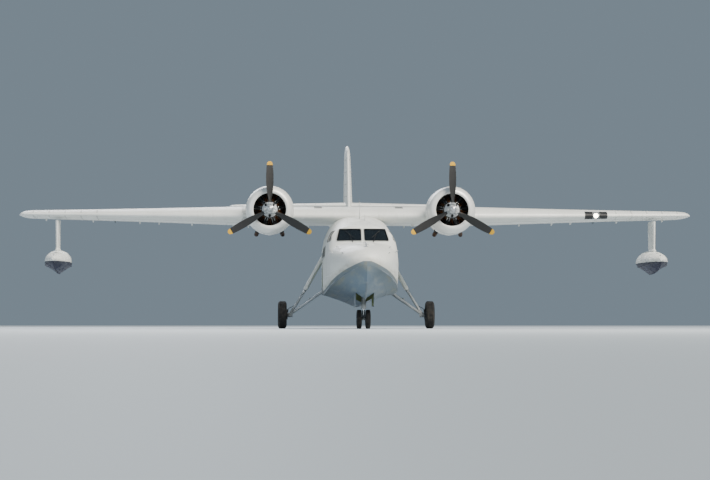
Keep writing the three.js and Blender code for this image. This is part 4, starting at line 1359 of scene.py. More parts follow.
# Height, stations of the leading and trailing edge, and thickness
capFoot = (tailValues["finCap"], 15.7, 18.05, 0.1)
finTable = smoothTable([(tailValues["finFoot"], 14.15, 18.23, 0.105), capFoot])
capTable = smoothTable([capFoot, (7.15, 15.88, 17.99, 0.09), (7.32, 16.22, 17.8, 0.07), (7.39, 16.65, 17.45, 0.03)])
# Distance from the end, chord and thickness as shares of the section's
wingTipTable = smoothTable([(-0.48, 1, 1), (-0.22, 0.965, 0.88), (-0.07, 0.85, 0.58), (0, 0.66, 0.16)])
tailTipTable = smoothTable([(-0.29, 1, 1), (-0.09, 0.92, 0.8), (0, 0.75, 0.22)])


def wingFoil(out, lips=wingValues["lips"]):
    v = wingValues
    t = max(0, out - layout["wingJoint"]) / (layout["halfSpan"] - layout["wingJoint"])
    chord, thick = lerp(*v["chords"], t), lerp(*v["thicknesses"], t)
    return Foil(chord * v["fore"], chord * (1 - v["fore"]), thick, lips, v["camber"], layout["incidence"])


def wingPlace(side, out, p):
    station, z = layout["wingHinge"]
    return vec(side * out, at(station) + p[0], z + max(0, out - layout["wingJoint"]) * tan(layout["dihedral"]) + p[1])


def tailFoil(out):
    hinge, t = layout["tailHinge"][0], out / tailValues["outer"]
    lead, trail, thick = (lerp(root, end, t) for root, end in zip(*tailValues["tailplane"]))
    return Foil(hinge - lead, trail - hinge, thick, tailValues["lips"])


def tailPlace(side, out, p):
    station, z = layout["tailHinge"]
    return vec(side * out, at(station) + p[0], z + p[1])


def finFoil(z):
    lead, trail, thick = (finTable if z <= capFoot[0] else capTable)(z)
    return Foil(layout["rudderHinge"] - lead, trail - layout["rudderHinge"], thick, tailValues["lips"])


def finPlace(side, z, p):
    return vec(p[1], at(layout["rudderHinge"]) + p[0], z)


wing, tailplane, fin = Surface(wingFoil, wingPlace), Surface(tailFoil, tailPlace), Surface(finFoil, finPlace)

# Each moving surface: span, steps of its skin, ribs and their margin, paint, width of tape and of the edge's tape, the
# share of the chord where the front rivets run with their margin, the rivets' spacing, and where its tab's line runs
movingKeys = "span steps ribs margin paint tape edge rows rowMargin spacing tab".split()
movingRows = {
    "flapInner": ((1.29, 4.032), 4, 8, 0.04, "white", 0.03, 0.035, 0.768, 0.02, 0.07, None),
    "flapOuter": ((4.068, 7.4), 6, 10, 0.04, "white", 0.03, 0.035, 0.768, 0.02, 0.07, None),
    "aileron": ((7.418, 11.682), 8, 14, 0.04, "fabric", 0.04, 0.035, 0.768, 0.02, 0.07, None),
    "elevator": ((0.3, 4.42), 8, 12, 0.04, "fabric", 0.04, 0.03, 0.69, 0.02, 0.08, (1.0, 2.3)),
    "rudder": ((3.48, 6.87), 10, 10, 0.05, "fabric", 0.04, 0.03, 0.75, 0.03, 0.08, (3.6, 5.0)),
}
movingValues = {name: dict(zip(movingKeys, row)) for name, row in movingRows.items()}


def makeMoving(surface, name, body, side=1, label=""):
    # A flap, aileron, elevator or rudder with its rib tapes and rivets
    v = movingValues[name]
    (first, last), steps = v["span"], 12 if surface is wing else 10
    skin = Bag().loft(surface.rings(side, spread(first, last, v["steps"]), "moving"))
    skin.make(f"{name}Skin{label}", v["paint"], 32, body, body)
    tapes, rows = Bag(), []
    ribs = spread(first + v["margin"], last - v["margin"], v["ribs"])
    for out in ribs:
        shares = spread(surface.foil(out).hinge + 0.004, 0.985, 10)
        for sign in bothWays:
            strip(tapes, surface.chord(side, out, shares, sign), v["tape"], 0.0025)
    for sign in bothWays:
        strip(tapes, surface.span(side, spread(first + 0.005, last - 0.005, steps), 0.975, sign), v["edge"], 0.003)
        if v["tab"]:
            strip(tapes, surface.span(side, spread(*v["tab"], 6), 0.9, sign), 0.014, 0.004)
        if name.startswith("flap"):
            rows.extend(surface.chord(side, out, spread(0.765, 0.965, 8), sign, 0.0025) for out in ribs)
        rows.append(surface.span(side, spread(first + v["rowMargin"], last - v["rowMargin"], steps), v["rows"], sign))
    tapes.make(f"{name}Tapes{label}", "seam", 30, body)
    rivets(f"{name}Rivets{label}", rows, "white", v["spacing"], body=body)


def makeWingSkins():
    v = wingValues
    centre, joint = Bag(), layout["wingJoint"]
    for side in bothWays:
        centre.loft(wing.rings(side, spread(v["centreTail"], joint, 6), "fixed", v["centreLips"]))
    centre.loft(wing.rings(1, spread(-v["centreTail"], v["centreTail"], 4), "whole"))
    x, s, z, r = v["jackPad"]
    for side in bothWays:
        centre.stack((side * x, s, z), (0, 0, 1), 24, (0.15, r * 1.5), (0.02, r * 1.05), (0, r))
    centre.make("wingCentreSkin", "white", 30, replaces="wing_center")

    flapEnd, tipStart = movingValues["flapOuter"]["span"][1] + 0.009, layout["halfSpan"] - v["tip"]
    for label, side in sides:
        panel = Bag().loft(wing.rings(side, spread(joint + 0.0004, flapEnd, 8), "fixed", v["centreLips"]))
        panel.loft(wing.rings(side, spread(flapEnd, tipStart, 10), "fixed"))
        panel = panel.piece(f"wingSkin_{label}", "white", 30)
        if side > 0:
            low, high, deep = v["light"]
            front = layout["wingHinge"][0] - wingFoil(low).fore
            cutter = Bag().box((low, front - 0.1, 3.6), (high, front + deep, 4.6))
            boolean(panel, [cutter.piece("lightCutter", "black")])
        tip = Bag().loft(wing.tip(side, layout["halfSpan"], wingTipTable, v["tip"], 12)).piece("tip", "white", 40)
        done(joined(f"wingPanel_{label}", [panel, tip]), "white", replaces=f"wing_{label}")


def makeAileronTab(label, side):
    tab, (first, last, front), middle = Bag(), wingValues["tab"], wingValues["tabHorn"]
    for sign in bothWays:
        strip(tab, wing.span(side, spread(first, last, 6), front, sign), 0.014, 0.004)
        for out in (first, last):
            strip(tab, wing.chord(side, out, spread(front, 0.99, 4), sign), 0.014, 0.004)
    (horn, n), (root, m) = wing.spot(side, middle, 0.94, -1), wing.spot(side, middle, 0.8, -1)
    tab.rods(8, ([0.012, 0.007], horn, horn + n * 0.07), (0.006, horn + n * 0.062, root + m * 0.045, root + m * 0.005))
    tab.make(f"aileronTab_{label}", "darkSteel", 35, f"aileron_{label}")


# Station, half width, top and bottom
nacelleTable = smoothTable([(5.42, 0.7, 4.85, 3.45), (5.9, 0.735, 4.88, 3.4), (6.7, 0.69, 4.8, 3.38),
                            (7.5, 0.52, 4.6, 3.45), (8.15, 0.28, 4.34, 3.6), (8.5, 0.1, 4.09, 3.76)])


def openAir(point):
    # False inside the hull or a nacelle, where a strap would be hidden
    s, out = point.y + layout["halfLength"], abs(point.x)
    _, _, _, sideZ, half, top, power = hullShape.section(s)
    if out < 1.24 and 0.1 < s < 18.3 and point.z < top + 0.02:
        return (out / half) ** power + (max(point.z - sideZ, 0) / (top - sideZ)) ** power >= 1
    if 5.5 < s < 8.45:
        half, top, bottom = nacelleTable(s)
        return ((out - layout["engineX"]) / half) ** 2 + ((2 * point.z - top - bottom) / (top - bottom)) ** 2 >= 1
    return True


def makeWingTrim(label, side):
    v = wingValues
    straps, rows, caps, screws, arms = Bag(), [], Bag(), [], Bag()
    for out in v["ribs"]:
        last = 0.7 if movingValues["flapInner"]["span"][0] < out < movingValues["aileron"]["span"][1] else 0.97
        shares = [0.012 + (last - 0.012) * t**1.6 for t in spread(0, 1, 26)]
        for sign in bothWays:
            for part in clipped(wing.chord(side, out, shares, sign), openAir):
                if out == 4.14 or round(out * 10) % 3 == 0:
                    strip(straps, part, v["strap"], 0.003)
                rows.append(lifted(part, 0.001))
    for share in v["spars"]:
        for sign in bothWays:
            for first, last in ((1.25, 4.04), (4.06, 11.7)):
                for part in clipped(wing.span(side, spread(first, last, 44), share, sign), openAir):
                    if share in (0.13, 0.52):
                        strip(straps, part, v["strap"], 0.003)
                    rows.append(lifted(part, 0.002, vec(y=0.014)))
                    if share == 0.3:
                        rows.append(lifted(part, 0.001, vec(y=-0.02)))
    shares = [0.002 + 0.7 * t**1.6 for t in spread(0, 1, 30)]
    for sign in bothWays:  # the doubled strap over the joint with the centre section
        for part in clipped(wing.chord(side, layout["wingJoint"], shares, sign), openAir):
            strip(straps, part, 0.13, 0.006)
    straps.make(f"wingStraps_{label}", "seam", 30)
    rivets(f"wingRivets_{label}", rows, "white", 0.1, 0.007, 0.005)

    for out, share in v["fillerCaps"]:
        p, n = wing.spot(side, out, share, 1)
        caps.stack(p, n, 28, (-0.004, 0.085), (0.006, 0.085), (0.008, 0.07))
        caps.stack(p, n, 16, (0.006, 0.03), (0.014, 0.026))
    wide, long = v["panelSize"]
    for out in v["panels"]:
        for share in (0.22, 0.42):
            p, n = wing.spot(side, out, share, -1)
            along = (vec(y=1) - n * n.y).normalized()
            rings = [oval(p + n * lift, vec(wide * size), along * long * size, 28)
                     for lift, size in ((-0.003, 1), (0.003, 1), (0.005, 0.93), (0.004, 0.86))]
            caps.loft(rings[:3])
            screws.append([(q, n) for q in rings[3] + rings[3][:1]])
    caps.make(f"wingCaps_{label}", "white", 30)
    rivets(f"wingCapScrews_{label}", screws, "bare", 0.045, 0.005, 0.003)

    for out in v["hingeArms"]:  # fairings over the hinge arms of flaps and ailerons
        rings = []
        for t in spread(0, 1, 8):
            here = wingPlace(side, out, wingFoil(out).at(lerp(-0.62, -0.24, t), -1)[0])
            wide, deep = 0.022 * sin(pi * (t * 0.7 + 0.06)) + 0.004, 0.075 * sin(pi * (t * 0.62 + 0.02)) + 0.004
            rings.append(oval(here - vec(z=0.01), vec(wide), vec(z=deep), 14))
        arms.loft(rings)
    arms.make(f"flapHingeFairings_{label}", "white", 40)


def makeLandingLight():
    low, high, deep = wingValues["light"]
    middle = (low + high) / 2
    fore = wingFoil(middle).fore
    front = layout["wingHinge"][0] - fore
    z = wingPlace(1, middle, wingFoil(middle).at(0.02 - fore, 1)[0]).z - 0.045

    def nose(out, lift):
        foil, shares = wingFoil(out), [(k / 14) ** 1.7 for k in range(15)]
        return [wingPlace(1, out, foil.at(deep * share - foil.fore, sign, lift)[0])
                for sign, row in ((1, shares[::-1]), (-1, shares[1:])) for share in row]

    def shell(bag, first, last, outer, inner):
        return bag.loft([nose(out, outer) + nose(out, inner)[::-1] for out in spread(first, last, 4)])

    def turned(name, paint, sides, profile):
        Bag().spin(profile, sides, "Y", (middle, front, z)).make(name, paint, 50)

    cover = shell(Bag(), low + 0.003, high - 0.003, 0.0, -0.006)
    cover.make("landingLightCover", "cover", 40, replaces="landing_light")
    bowl = [(0, 0.13), (0.03, 0.128), (0.07, 0.1), (0.088, 0.055), (0.094, 0.052), (0.094, 0.06), (0.076, 0.106),
            (0.034, 0.14), (0, 0.142)]
    turned("landingLightBowl", "chrome", 36, bowl)
    turned("landingLightLens", "lampGlow", 30, [(0, 0.06), (0.045, 0.063), (0.086, 0.072), (0.08, 0.09), (0, 0.1)])
    surround, case = Bag(), Bag()
    for first, last in ((low - 0.3, low - 0.004), (high + 0.004, high + 0.3)):
        shell(surround, first, last, 0.003, -0.004)
    surround.make("landingLightSurround", "black", 40)
    case.tube([(middle, front + 0.14, z), (middle, front + deep, z)], 0.03, 14)
    for x in (low + 0.002, high - 0.006):
        case.box((x, front + 0.02, z - 0.05), (x + 0.004, front + deep, z + 0.05), bevel=0.001)
    case.make("landingLightMount", "black", 40)


def makeTipLight(label, side, lamp):
    end = layout["halfSpan"]
    foil = wingFoil(end - 0.1)
    centre = wingPlace(side, end - 0.055, (0.2 * foil.chord - foil.fore, 0.012))
    rings = [oval(centre + vec(side * 0.01, -0.075 * cos(a)), vec(side * 0.03 * sin(a)), vec(z=0.026 * sin(a)), 14)
             for a in spread(0, pi, 8)]
    Bag().loft(rings).make(f"tipLens_{label}", lamp, 60)
    base = Bag(side, centre).rods(12, (0.012, (-0.05, 0.085, 0), (0.012, 0.085, 0)),
                                  (0.012, (-0.05, -0.07, 0), (-0.004, -0.07, 0)))
    trail = wingPlace(side, end - 0.4, wingFoil(end - 0.4).points("whole")[0])
    base.tube([trail - vec(y=0.01), trail + vec(y=0.11, z=-0.01)], 0.004, 6)  # static wick
    base.make(f"tipFittings_{label}", "bare", 40)


makeWingSkins()
for label, side in sides:
    for name, body in (("flapInner", "flap_inner_"), ("flapOuter", "flap_outer_"), ("aileron", "aileron_")):
        makeMoving(wing, name, body + label, side, "_" + label)
    makeAileronTab(label, side)
    makeWingTrim(label, side)
    makeTipLight(label, side, "redLens" if side > 0 else "greenLens")
makeLandingLight()
print("wing ready")

# Tailplane, elevators, fin and rudder

def makeTailplane():
    v = tailValues
    plane = Bag()
    for side in bothWays:
        plane.loft(tailplane.rings(side, spread(0.0, v["outer"] - v["tip"], 12), "fixed"))
        plane.loft(tailplane.tip(side, v["outer"], tailTipTable, v["tip"], 9))
    plane.make("tailplaneSkin", "white", 30, replaces="tailplane")
    for label, side in sides:
        makeMoving(tailplane, "elevator", f"elevator_{label}", side, "_" + label)
        straps, rows = Bag(), []
        for out in spread(0.42, 4.4, 9):
            for sign in bothWays:
                line = tailplane.chord(side, out, [0.02 + 0.56 * t**1.5 for t in spread(0, 1, 16)], sign)
                if round(out * 10) % 2:
                    strip(straps, line, 0.04, 0.0025)
                rows.append(line)
        for share in v["tailSpars"]:
            for sign in bothWays:
                line = tailplane.span(side, spread(0.3, 4.43, 20), share, sign)
                strip(straps, line, 0.04, 0.003)
                rows.append(lifted(line, 0.003))
        straps.make(f"tailplaneStraps_{label}", "seam", 30)
        rivets(f"tailplaneRivets_{label}", rows, "white", 0.09, 0.006, 0.005)


def makeFin():
    # The fin and its rounded cap, the dorsal fillet ahead of it, then its straps and rivets
    v, skin, straps, rows = tailValues, Bag(), Bag(), []
    top = movingValues["rudder"]["span"][1] + 0.012
    skin.loft(fin.rings(1, spread(v["finFoot"], top, 10), "fixed"))
    skin.loft(fin.rings(1, [lerp(top, v["finTop"], sin(a)) for a in spread(0, pi / 2, 10)], "whole"))
    (first, last), crest, rings = v["dorsal"], smoothTable(v["crest"]), []
    for s in spread(first, last, 18):
        half, foot = 0.02 + 0.075 * (s - first) / (last - first), hullShape.section(s).top - 0.06
        rings.append([(cos(a) * lerp(half * 1.7, half * 0.42, sin(a)), s, lerp(foot, crest(s)[0], sin(a)))
                      for a in spread(0, pi, 16)])
    skin.loft(rings).make("finSkin", "white", 30, replaces="fin")
    makeMoving(fin, "rudder", "rudder")

    for sign in bothWays:
        # The rudder's hinge is at a smaller share of the chord near the top, so the rows end ahead of it everywhere
        lines = [fin.chord(1, z, [0.02 + (finFoil(z).hinge - 0.06) * t**1.4 for t in spread(0, 1, 14)], sign)
                 for z in spread(3.75, 6.75, 6)]
        lines += [[fin.spot(1, z, share * (finFoil(z).hinge - 0.03), sign) for z in spread(3.6, 6.8, 16)]
                  for share in v["finSpars"]]
        for line in lines:
            strip(straps, line, 0.04, 0.003)
            rows.append(lifted(line, 0.003))
    straps.make("finStraps", "seam", 30)
    rivets("finRivets", rows, "white", 0.09, 0.006, 0.005)

    beacon = Bag().spin([(0, 0.052), (0.014, 0.05), (0.03, 0.03), (0.034, 0)], 20, "Z", (0, *v["beacon"]))
    beacon.make("finBeacon", "redLens", 60)
    lamp = Bag().spin([(0, 0.03), (0.012, 0.028), (0.026, 0.01), (0.03, -0.03), (0, -0.03)], 18, "Y", (0, *v["lamp"]))
    lamp.make("tailLamp", "clearLens", 60)


makeTailplane()
makeFin()
print("tail ready")

# Nacelles, cowls, engines and propellers

nacelleValues = {
    "sides": 56, "ends": (5.42, 8.5),
    "rings": (5.62, 6.25, 6.9, 7.5),               # stations of the straps round it
    "stringers": (0, 5, 14, 23, 28, 33, 51),       # which of its sides carry a strap
    "scoopEnds": (5.46, 6.35),
    "stackFrom": (0.38, 5.7, 3.56), "stackTo": (0.47, 6.35, 3.35), "stackRadius": 0.075,
    # radius, as a share of the stack's, and distance along it, out and back into the mouth
    "stack": ((1, 0), (1, 0.45), (1, 0.8), (1.02, 0.985), (1, 1), (0.9, 1), (0.88, 0.98), (0.86, 0.7), (0.007, 0.66)),
    # share of the length, half width and half depth
    "scoop": ((0.0, 0.15, 0.085), (0.02, 0.158, 0.092), (0.2, 0.165, 0.1), (0.5, 0.16, 0.09), (0.8, 0.13, 0.055),
              (1.0, 0.08, 0.015)),
}

cowlValues = {
    "front": 4.3, "length": 1.18, "sides": 96,
    # From the inner rear edge round the lip to the outer rear edge: radius and distance aft of the lip
    "profile": ((0.785, 1.18), (0.797, 0.9), (0.8, 0.6), (0.796, 0.36), (0.78, 0.21), (0.74, 0.135), (0.69, 0.1),
                (0.62, 0.078), (0.575, 0.06), (0.566, 0.04), (0.571, 0.02), (0.586, 0.006), (0.606, 0.0),
                (0.632, 0.002), (0.664, 0.012), (0.702, 0.034), (0.744, 0.076), (0.785, 0.14), (0.812, 0.22),
                (0.83, 0.32), (0.84, 0.44), (0.838, 0.7), (0.828, 0.95), (0.812, 1.18)),
    "outside": 15,                 # where the profile's outer half starts
    "flaps": 14, "flapLength": 0.24,
    "seams": (0.4, 0.9),
    "fasteners": (48, 0.44, 0.86, 0.9),   # number round it, then distances aft of the lip
    "brackets": 6,
}

engineValues = {
    "case": ((0.0, 4.25), (0.108, 4.25), (0.118, 4.262), (0.15, 4.3), (0.172, 4.335), (0.176, 4.355), (0.196, 4.36),
             (0.196, 4.385), (0.205, 4.42), (0.222, 4.45), (0.262, 4.49), (0.29, 4.52), (0.296, 4.56), (0.3, 4.62),
             (0.3, 4.9), (0.3, 4.98), (0.34, 5.01), (0.38, 5.04), (0.38, 5.415), (0.0, 5.415)),
    "cylinders": 9, "station": 4.75, "fins": 17, "headFins": 9,
    "rockerLean": radians(17), "magnetos": (radians(52), radians(128)), "caseBolts": 20,
}

propValues = {
    "station": 4.13, "blades": 3, "tip": 1.53, "around": 28, "steps": 44, "fine": 6,
    # Radius, chord, thickness, angle to the plane of rotation and how round the section is
    "rows": ((0.09, 0.115, 0.112, 50, 1.0), (0.2, 0.118, 0.11, 50, 1.0), (0.33, 0.15, 0.088, 48, 0.85),
             (0.46, 0.205, 0.066, 44, 0.5), (0.65, 0.278, 0.047, 38, 0.2), (0.88, 0.304, 0.036, 32, 0.0),
             (1.1, 0.3, 0.027, 28, 0.0), (1.32, 0.272, 0.02, 24, 0.0), (1.5, 0.235, 0.015, 21, 0.0),
             (1.6, 0.19, 0.012, 20, 0.0), (1.645, 0.13, 0.009, 19, 0.0), (1.66, 0.05, 0.006, 19, 0.0)),
    "dome": ((0, -0.29), (0.02, -0.289), (0.055, -0.282), (0.078, -0.266), (0.095, -0.24), (0.1, -0.2), (0.104, -0.125),
             (0.118, -0.118), (0.118, -0.104), (0.108, -0.1), (0.112, -0.085), (0.14, -0.075), (0.152, -0.04),
             (0.156, 0.0), (0.152, 0.04), (0.12, 0.07), (0.108, 0.085), (0.1, 0.11), (0, 0.112)),
}


def nacellePoint(x0, s, a):
    half, top, bottom = nacelleTable(s)
    c, d = (copysign(abs(t) ** 0.95, t) for t in (cos(a), sin(a)))
    return vec(x0 + half * c, at(s), lerp(bottom, top, (1 + d) / 2))


def wingHeight(s, x, way):
    return wingPlace(1, abs(x), wingFoil(abs(x)).at(s - layout["wingHinge"][0], way)[0]).z


def outsideWing(point):
    s, foil = point.y + layout["halfLength"], wingFoil(abs(point.x))
    along = s - layout["wingHinge"][0]
    return not (-foil.fore < along < foil.chord - foil.fore
                and wingHeight(s, point.x, -1) - 0.01 < point.z < wingHeight(s, point.x, 1) + 0.01)


def outward(points):
    middle = middleOf(points)
    return [(p, (p - middle).normalized()) for p in points]


def makeNacelle(label, x0):
    v = nacelleValues
    stations = spread(*v["ends"], 30)
    rings = [[nacellePoint(x0, s, 2 * pi * k / v["sides"]) for k in range(v["sides"])] for s in stations]
    middle = middleOf(rings[-1])
    tail = [middle + (p - middle) * 0.55 + vec(y=0.02) for p in rings[-1]]
    Bag().loft(rings + [tail]).make(f"nacelleSkin_{label}", "nacelle", 35, replaces=f"nacelle_{label}")

    straps, rows = Bag(), []
    for s in v["rings"]:
        line = outward([nacellePoint(x0, s, 2 * pi * k / v["sides"]) for k in range(v["sides"])])
        for part in clipped(line + line[:1], outsideWing):
            strip(straps, part, 0.05, 0.003)
            rows.extend(lifted(part, 0.002, vec(y=dy)) for dy in (0.016, -0.016))
    for k in v["stringers"]:
        for part in clipped([outward(ring)[k] for ring in rings], outsideWing):
            strip(straps, part, 0.045, 0.003)
            rows.append(lifted(part, 0.002))
    straps.make(f"nacelleStraps_{label}", "nacelle", 30)
    rivets(f"nacelleRivets_{label}", rows, "nacelle", 0.07)

    # Exhaust stacks with hollow mouths, and their collars on the nacelle
    stacks, collars, r = Bag(), Bag(), v["stackRadius"]
    for way in bothWays:
        a, b = (vec(x0 + way * x, at(s), z) for x, s, z in (v["stackFrom"], v["stackTo"]))
        path, along = b - a, (b - a).normalized()
        wide = along.orthogonal().normalized()
        stacks.loft([oval(a + path * t, wide * r * share, along.cross(wide) * r * share, 28)
                     for share, t in v["stack"]])
        for t in (0.55, 0.82):
            stacks.stack(a + path * t, along, 28, (-0.012, r * 1.06), (0.012, r * 1.06))
        collars.stack(a + path * 0.3, along, 28, (-0.03, r * 1.5), (0.03, r * 1.35), (0.05, r * 1.1))
    stacks.make(f"exhaustStacks_{label}", "exhaust", 45)
    collars.make(f"exhaustCollars_{label}", "engineSteel", 45)

    scoop = Bag()  # the oil cooler's scoop under the nacelle and the carburettor's intake above it
    for column in (2, 1):
        rings = []
        for t, wide, deep in v["scoop"]:
            s = lerp(*v["scoopEnds"], t)
            rings.append(oval(vec(x0, at(s), nacelleTable(s)[column]), vec(wide), vec(z=deep), 28))
        centre = middleOf(rings[0])
        inner = [[centre + (p - centre) * size + vec(y=dy) for p in rings[0]]
                 for size, dy in ((0.8, 0.16), (0.86, 0.04), (0.9, 0.002))]
        scoop.loft(inner + rings)
    scoop.make(f"nacelleScoops_{label}", "nacelle")


def makeCowl(label, x0):
    v, centre = cowlValues, vec(x0, 0, layout["thrustZ"])
    front, hub = v["front"], (x0, v["front"], layout["thrustZ"])
    outer = smoothTable([(d, r) for r, d in v["profile"][v["outside"]:]])

    shell = Bag().spin(v["profile"] + v["profile"][:1], v["sides"], "Y", hub).piece(f"cowlShell_{label}", "cowl")
    # The skin that faces inwards behind the lip gets this near-black second material: painted shade inside the cowl's
    # opening
    shell.data.materials.append(paints["sootAndShade"])
    for face in shell.data.polygons:
        c, out = face.center, vec(face.center.x - centre.x, 0, face.center.z - centre.z)
        if out.length < 0.81 and c.y > at(front) + 0.045 and face.normal.dot(out.normalized()) < 0.35:
            face.material_index = 1
    done(shell, "cowl", replaces=f"cowl_{label}")

    def onCowl(d, a, lean):
        r = outer(d)[0]
        return centre + vec(r * cos(a), at(front) + d, r * sin(a)), vec(cos(a), lean, sin(a)).normalized()

    straps = Bag()
    for k in range(3):
        strip(straps, [onCowl(d, pi / 2 + 2 * pi * k / 3, -0.05) for d in spread(0.09, 0.93, 14)], 0.05, 0.004)
    for d in v["seams"]:
        strip(straps, [onCowl(d, 2 * pi * k / 72, 0) for k in range(72)], 0.035, 0.003, close=True)
    straps.make(f"cowlStraps_{label}", "seam", 30)

    flap, reach, rings = Bag(), 0.47 * 2 * pi / v["flaps"], []
    hinge = v["length"] - v["flapLength"]
    for d in spread(hinge, v["length"] + 0.035, 6):
        r, arc = outer(d)[0] + 0.002 + 0.02 * max(0, (d - 0.98) / 0.2) ** 1.5, spread(-reach, reach, 8)
        rings.append([(high * sin(a), front + d, high * cos(a))
                      for high, row in ((r + 0.005, arc), (r - 0.001, arc[::-1])) for a in row])
    flap.loft(rings).tube([(x, front + hinge, outer(hinge)[0] + 0.006) for x in (-0.15, 0.15)], 0.008, 8)
    repeated(flap, f"cowlFlaps_{label}", v["flaps"], centre, "cowl", smooth=35)

    stud, (count, *rows) = Bag(), v["fasteners"]
    studs = [(0.36, 0.834, 0.8405)] + [(d, outer(d)[0] - 0.001, outer(d)[0] + 0.0045) for d in rows]
    for d, low, high in studs:
        stud.tube([(0, front + d, low), (0, front + d, high)], 0.009, 8)
    repeated(stud, f"cowlFasteners_{label}", count, centre, "bare", 0.05)

    # Baffle behind the cylinders, near-black as painted shade in the cowl's opening, with the brackets that carry the
    # cowl
    baffle = Bag().spin([(0.3, 4.93), (0.5, 4.935), (0.788, 4.95), (0.788, 4.956), (0.5, 4.942), (0.3, 4.937),
                         (0.3, 4.93)], 60, "Y", (x0, 0, layout["thrustZ"]))
    plate, count = Bag().box((-0.045, 4.8, 0.33), (0.045, 4.935, 0.69), bevel=0.006), engineValues["cylinders"]
    baffle.arms(plate, [2 * pi * (k + 0.5) / count for k in range(count)], centre)
    baffle.make(f"engineBaffles_{label}", "sootAndShade", 35)
    bracket = Bag().tube([(0, 5.45, 0.7), (0, 5.45, 0.8)], 0.018, 10)
    repeated(bracket, f"cowlBrackets_{label}", v["brackets"], centre, "engineSteel", pi / v["brackets"])


def makeEngine(label, x0):
    v, centre = engineValues, vec(x0, 0, layout["thrustZ"])
    s, count = v["station"], v["cylinders"]
    case = Bag().spin(v["case"], 54, "Y", (x0, 0, layout["thrustZ"]))
    case.make(f"engineCase_{label}", "crankcase", 35, replaces=f"engine_{label}")

    # One cylinder, drawn pointing up: flange, finned barrel and finned head
    profile = [(0.0, 0.25), (0.105, 0.25), (0.105, 0.272), (0.088, 0.275)]
    for z in spread(0.285, 0.468, v["fins"] - 1):
        profile += [(0.082, z), (0.104, z + 0.001), (0.104, z + 0.0045), (0.082, z + 0.0055)]
    for t in spread(0, 1, v["headFins"] - 1):
        z, wide = lerp(0.486, 0.63, t), 0.131 - 0.022 * t**2
        profile += [(0.094, z), (wide, z + 0.002), (wide, z + 0.0075), (0.094, z + 0.009)]
    profile += [(0.088, 0.65), (0.07, 0.668), (0.0, 0.676)]
    repeated(Bag().spin(profile, 22, "Z", (0, s, 0)), f"cylinders_{label}", count, centre, "cylinder", smooth=35)

    boxes, rods, pipes, leads = Bag(), Bag(), Bag(), Bag()
    for way in bothWays:
        for bag in (boxes, rods, pipes, leads):
            bag.side = way
        turn = Matrix.Rotation(way * v["rockerLean"], 4, "Y")
        boxes.box((0.039, s - 0.085, 0.625), (0.105, s + 0.045, 0.7), 0.012, turn)
        boxes.tube([(0.082, s - 0.088, 0.672), (0.082, s - 0.097, 0.672)], 0.02)
        rods.rods(10, (0.0125, (0.035, s - 0.2, 0.27), (0.048, s - 0.135, 0.45), (0.074, s - 0.08, 0.635)),
                  (0.02, (0.035, s - 0.205, 0.262), (0.0365, s - 0.19, 0.292)))
        pipes.tube([(0.12, s + 0.05, 0.56), (0.15, s + 0.11, 0.5), (0.155, s + 0.2, 0.42), (0.12, s + 0.3, 0.33)],
                   0.027 if way > 0 else 0.03)
        leads.rods(8, (0.008, (0.09, s - 0.03, 0.6), (0.128, s - 0.1, 0.55), (0.12, s - 0.2, 0.4),
                       (0.075, s - 0.26, 0.288)), (0.015, (0.092, s - 0.02, 0.602), (0.1, s - 0.045, 0.592)))
    for bag, name, paint, smooth in ((boxes, "rockerBoxes", "crankcase", 40), (rods, "pushrodTubes", "chrome", 45),
                                     (pipes, "intakePipes", "engineSteel", 45), (leads, "ignitionLeads", "copper", 45)):
        repeated(bag, f"{name}_{label}", count, centre, paint, smooth=smooth)

    fittings = Bag(1, centre + vec(y=at(0)))
    ring = [(0.288 * c, 4.485, 0.288 * d) for c, d in circle(48) + [(1, 0)]]
    fittings.tube(ring, 0.014, 10, caps=False)  # the ignition harness
    for a in v["magnetos"]:
        fittings.stack((0.205 * cos(a), 4.36, 0.205 * sin(a)), (0, 1, 0), 20, (0.09, 0.052), (-0.01, 0.052),
                       (-0.03, 0.044), (-0.045, 0.02))
    fittings.stack((0, 4.33, -0.21), (0, 1, 0), 18, (0.1, 0.045), (-0.02, 0.045), (-0.035, 0.03))  # governor
    fittings.tube([(0, 4.33, -0.16), (0, 4.33, -0.27)], 0.03, 16)
    fittings.make(f"noseCaseFittings_{label}", "engineSteel", 45)
    bolt = Bag().tube([(0, 4.362, 0.186), (0, 4.348, 0.186)], 0.0075, 6)
    repeated(bolt, f"noseCaseBolts_{label}", v["caseBolts"], centre, "steel")
    nuts = Bag()
    for c, d in circle(10):
        nuts.tube([(0.094 * c, s + 0.094 * d, z) for z in (0.27, 0.283)], 0.0065, 6)
    repeated(nuts, f"cylinderNuts_{label}", count, centre, "steel")


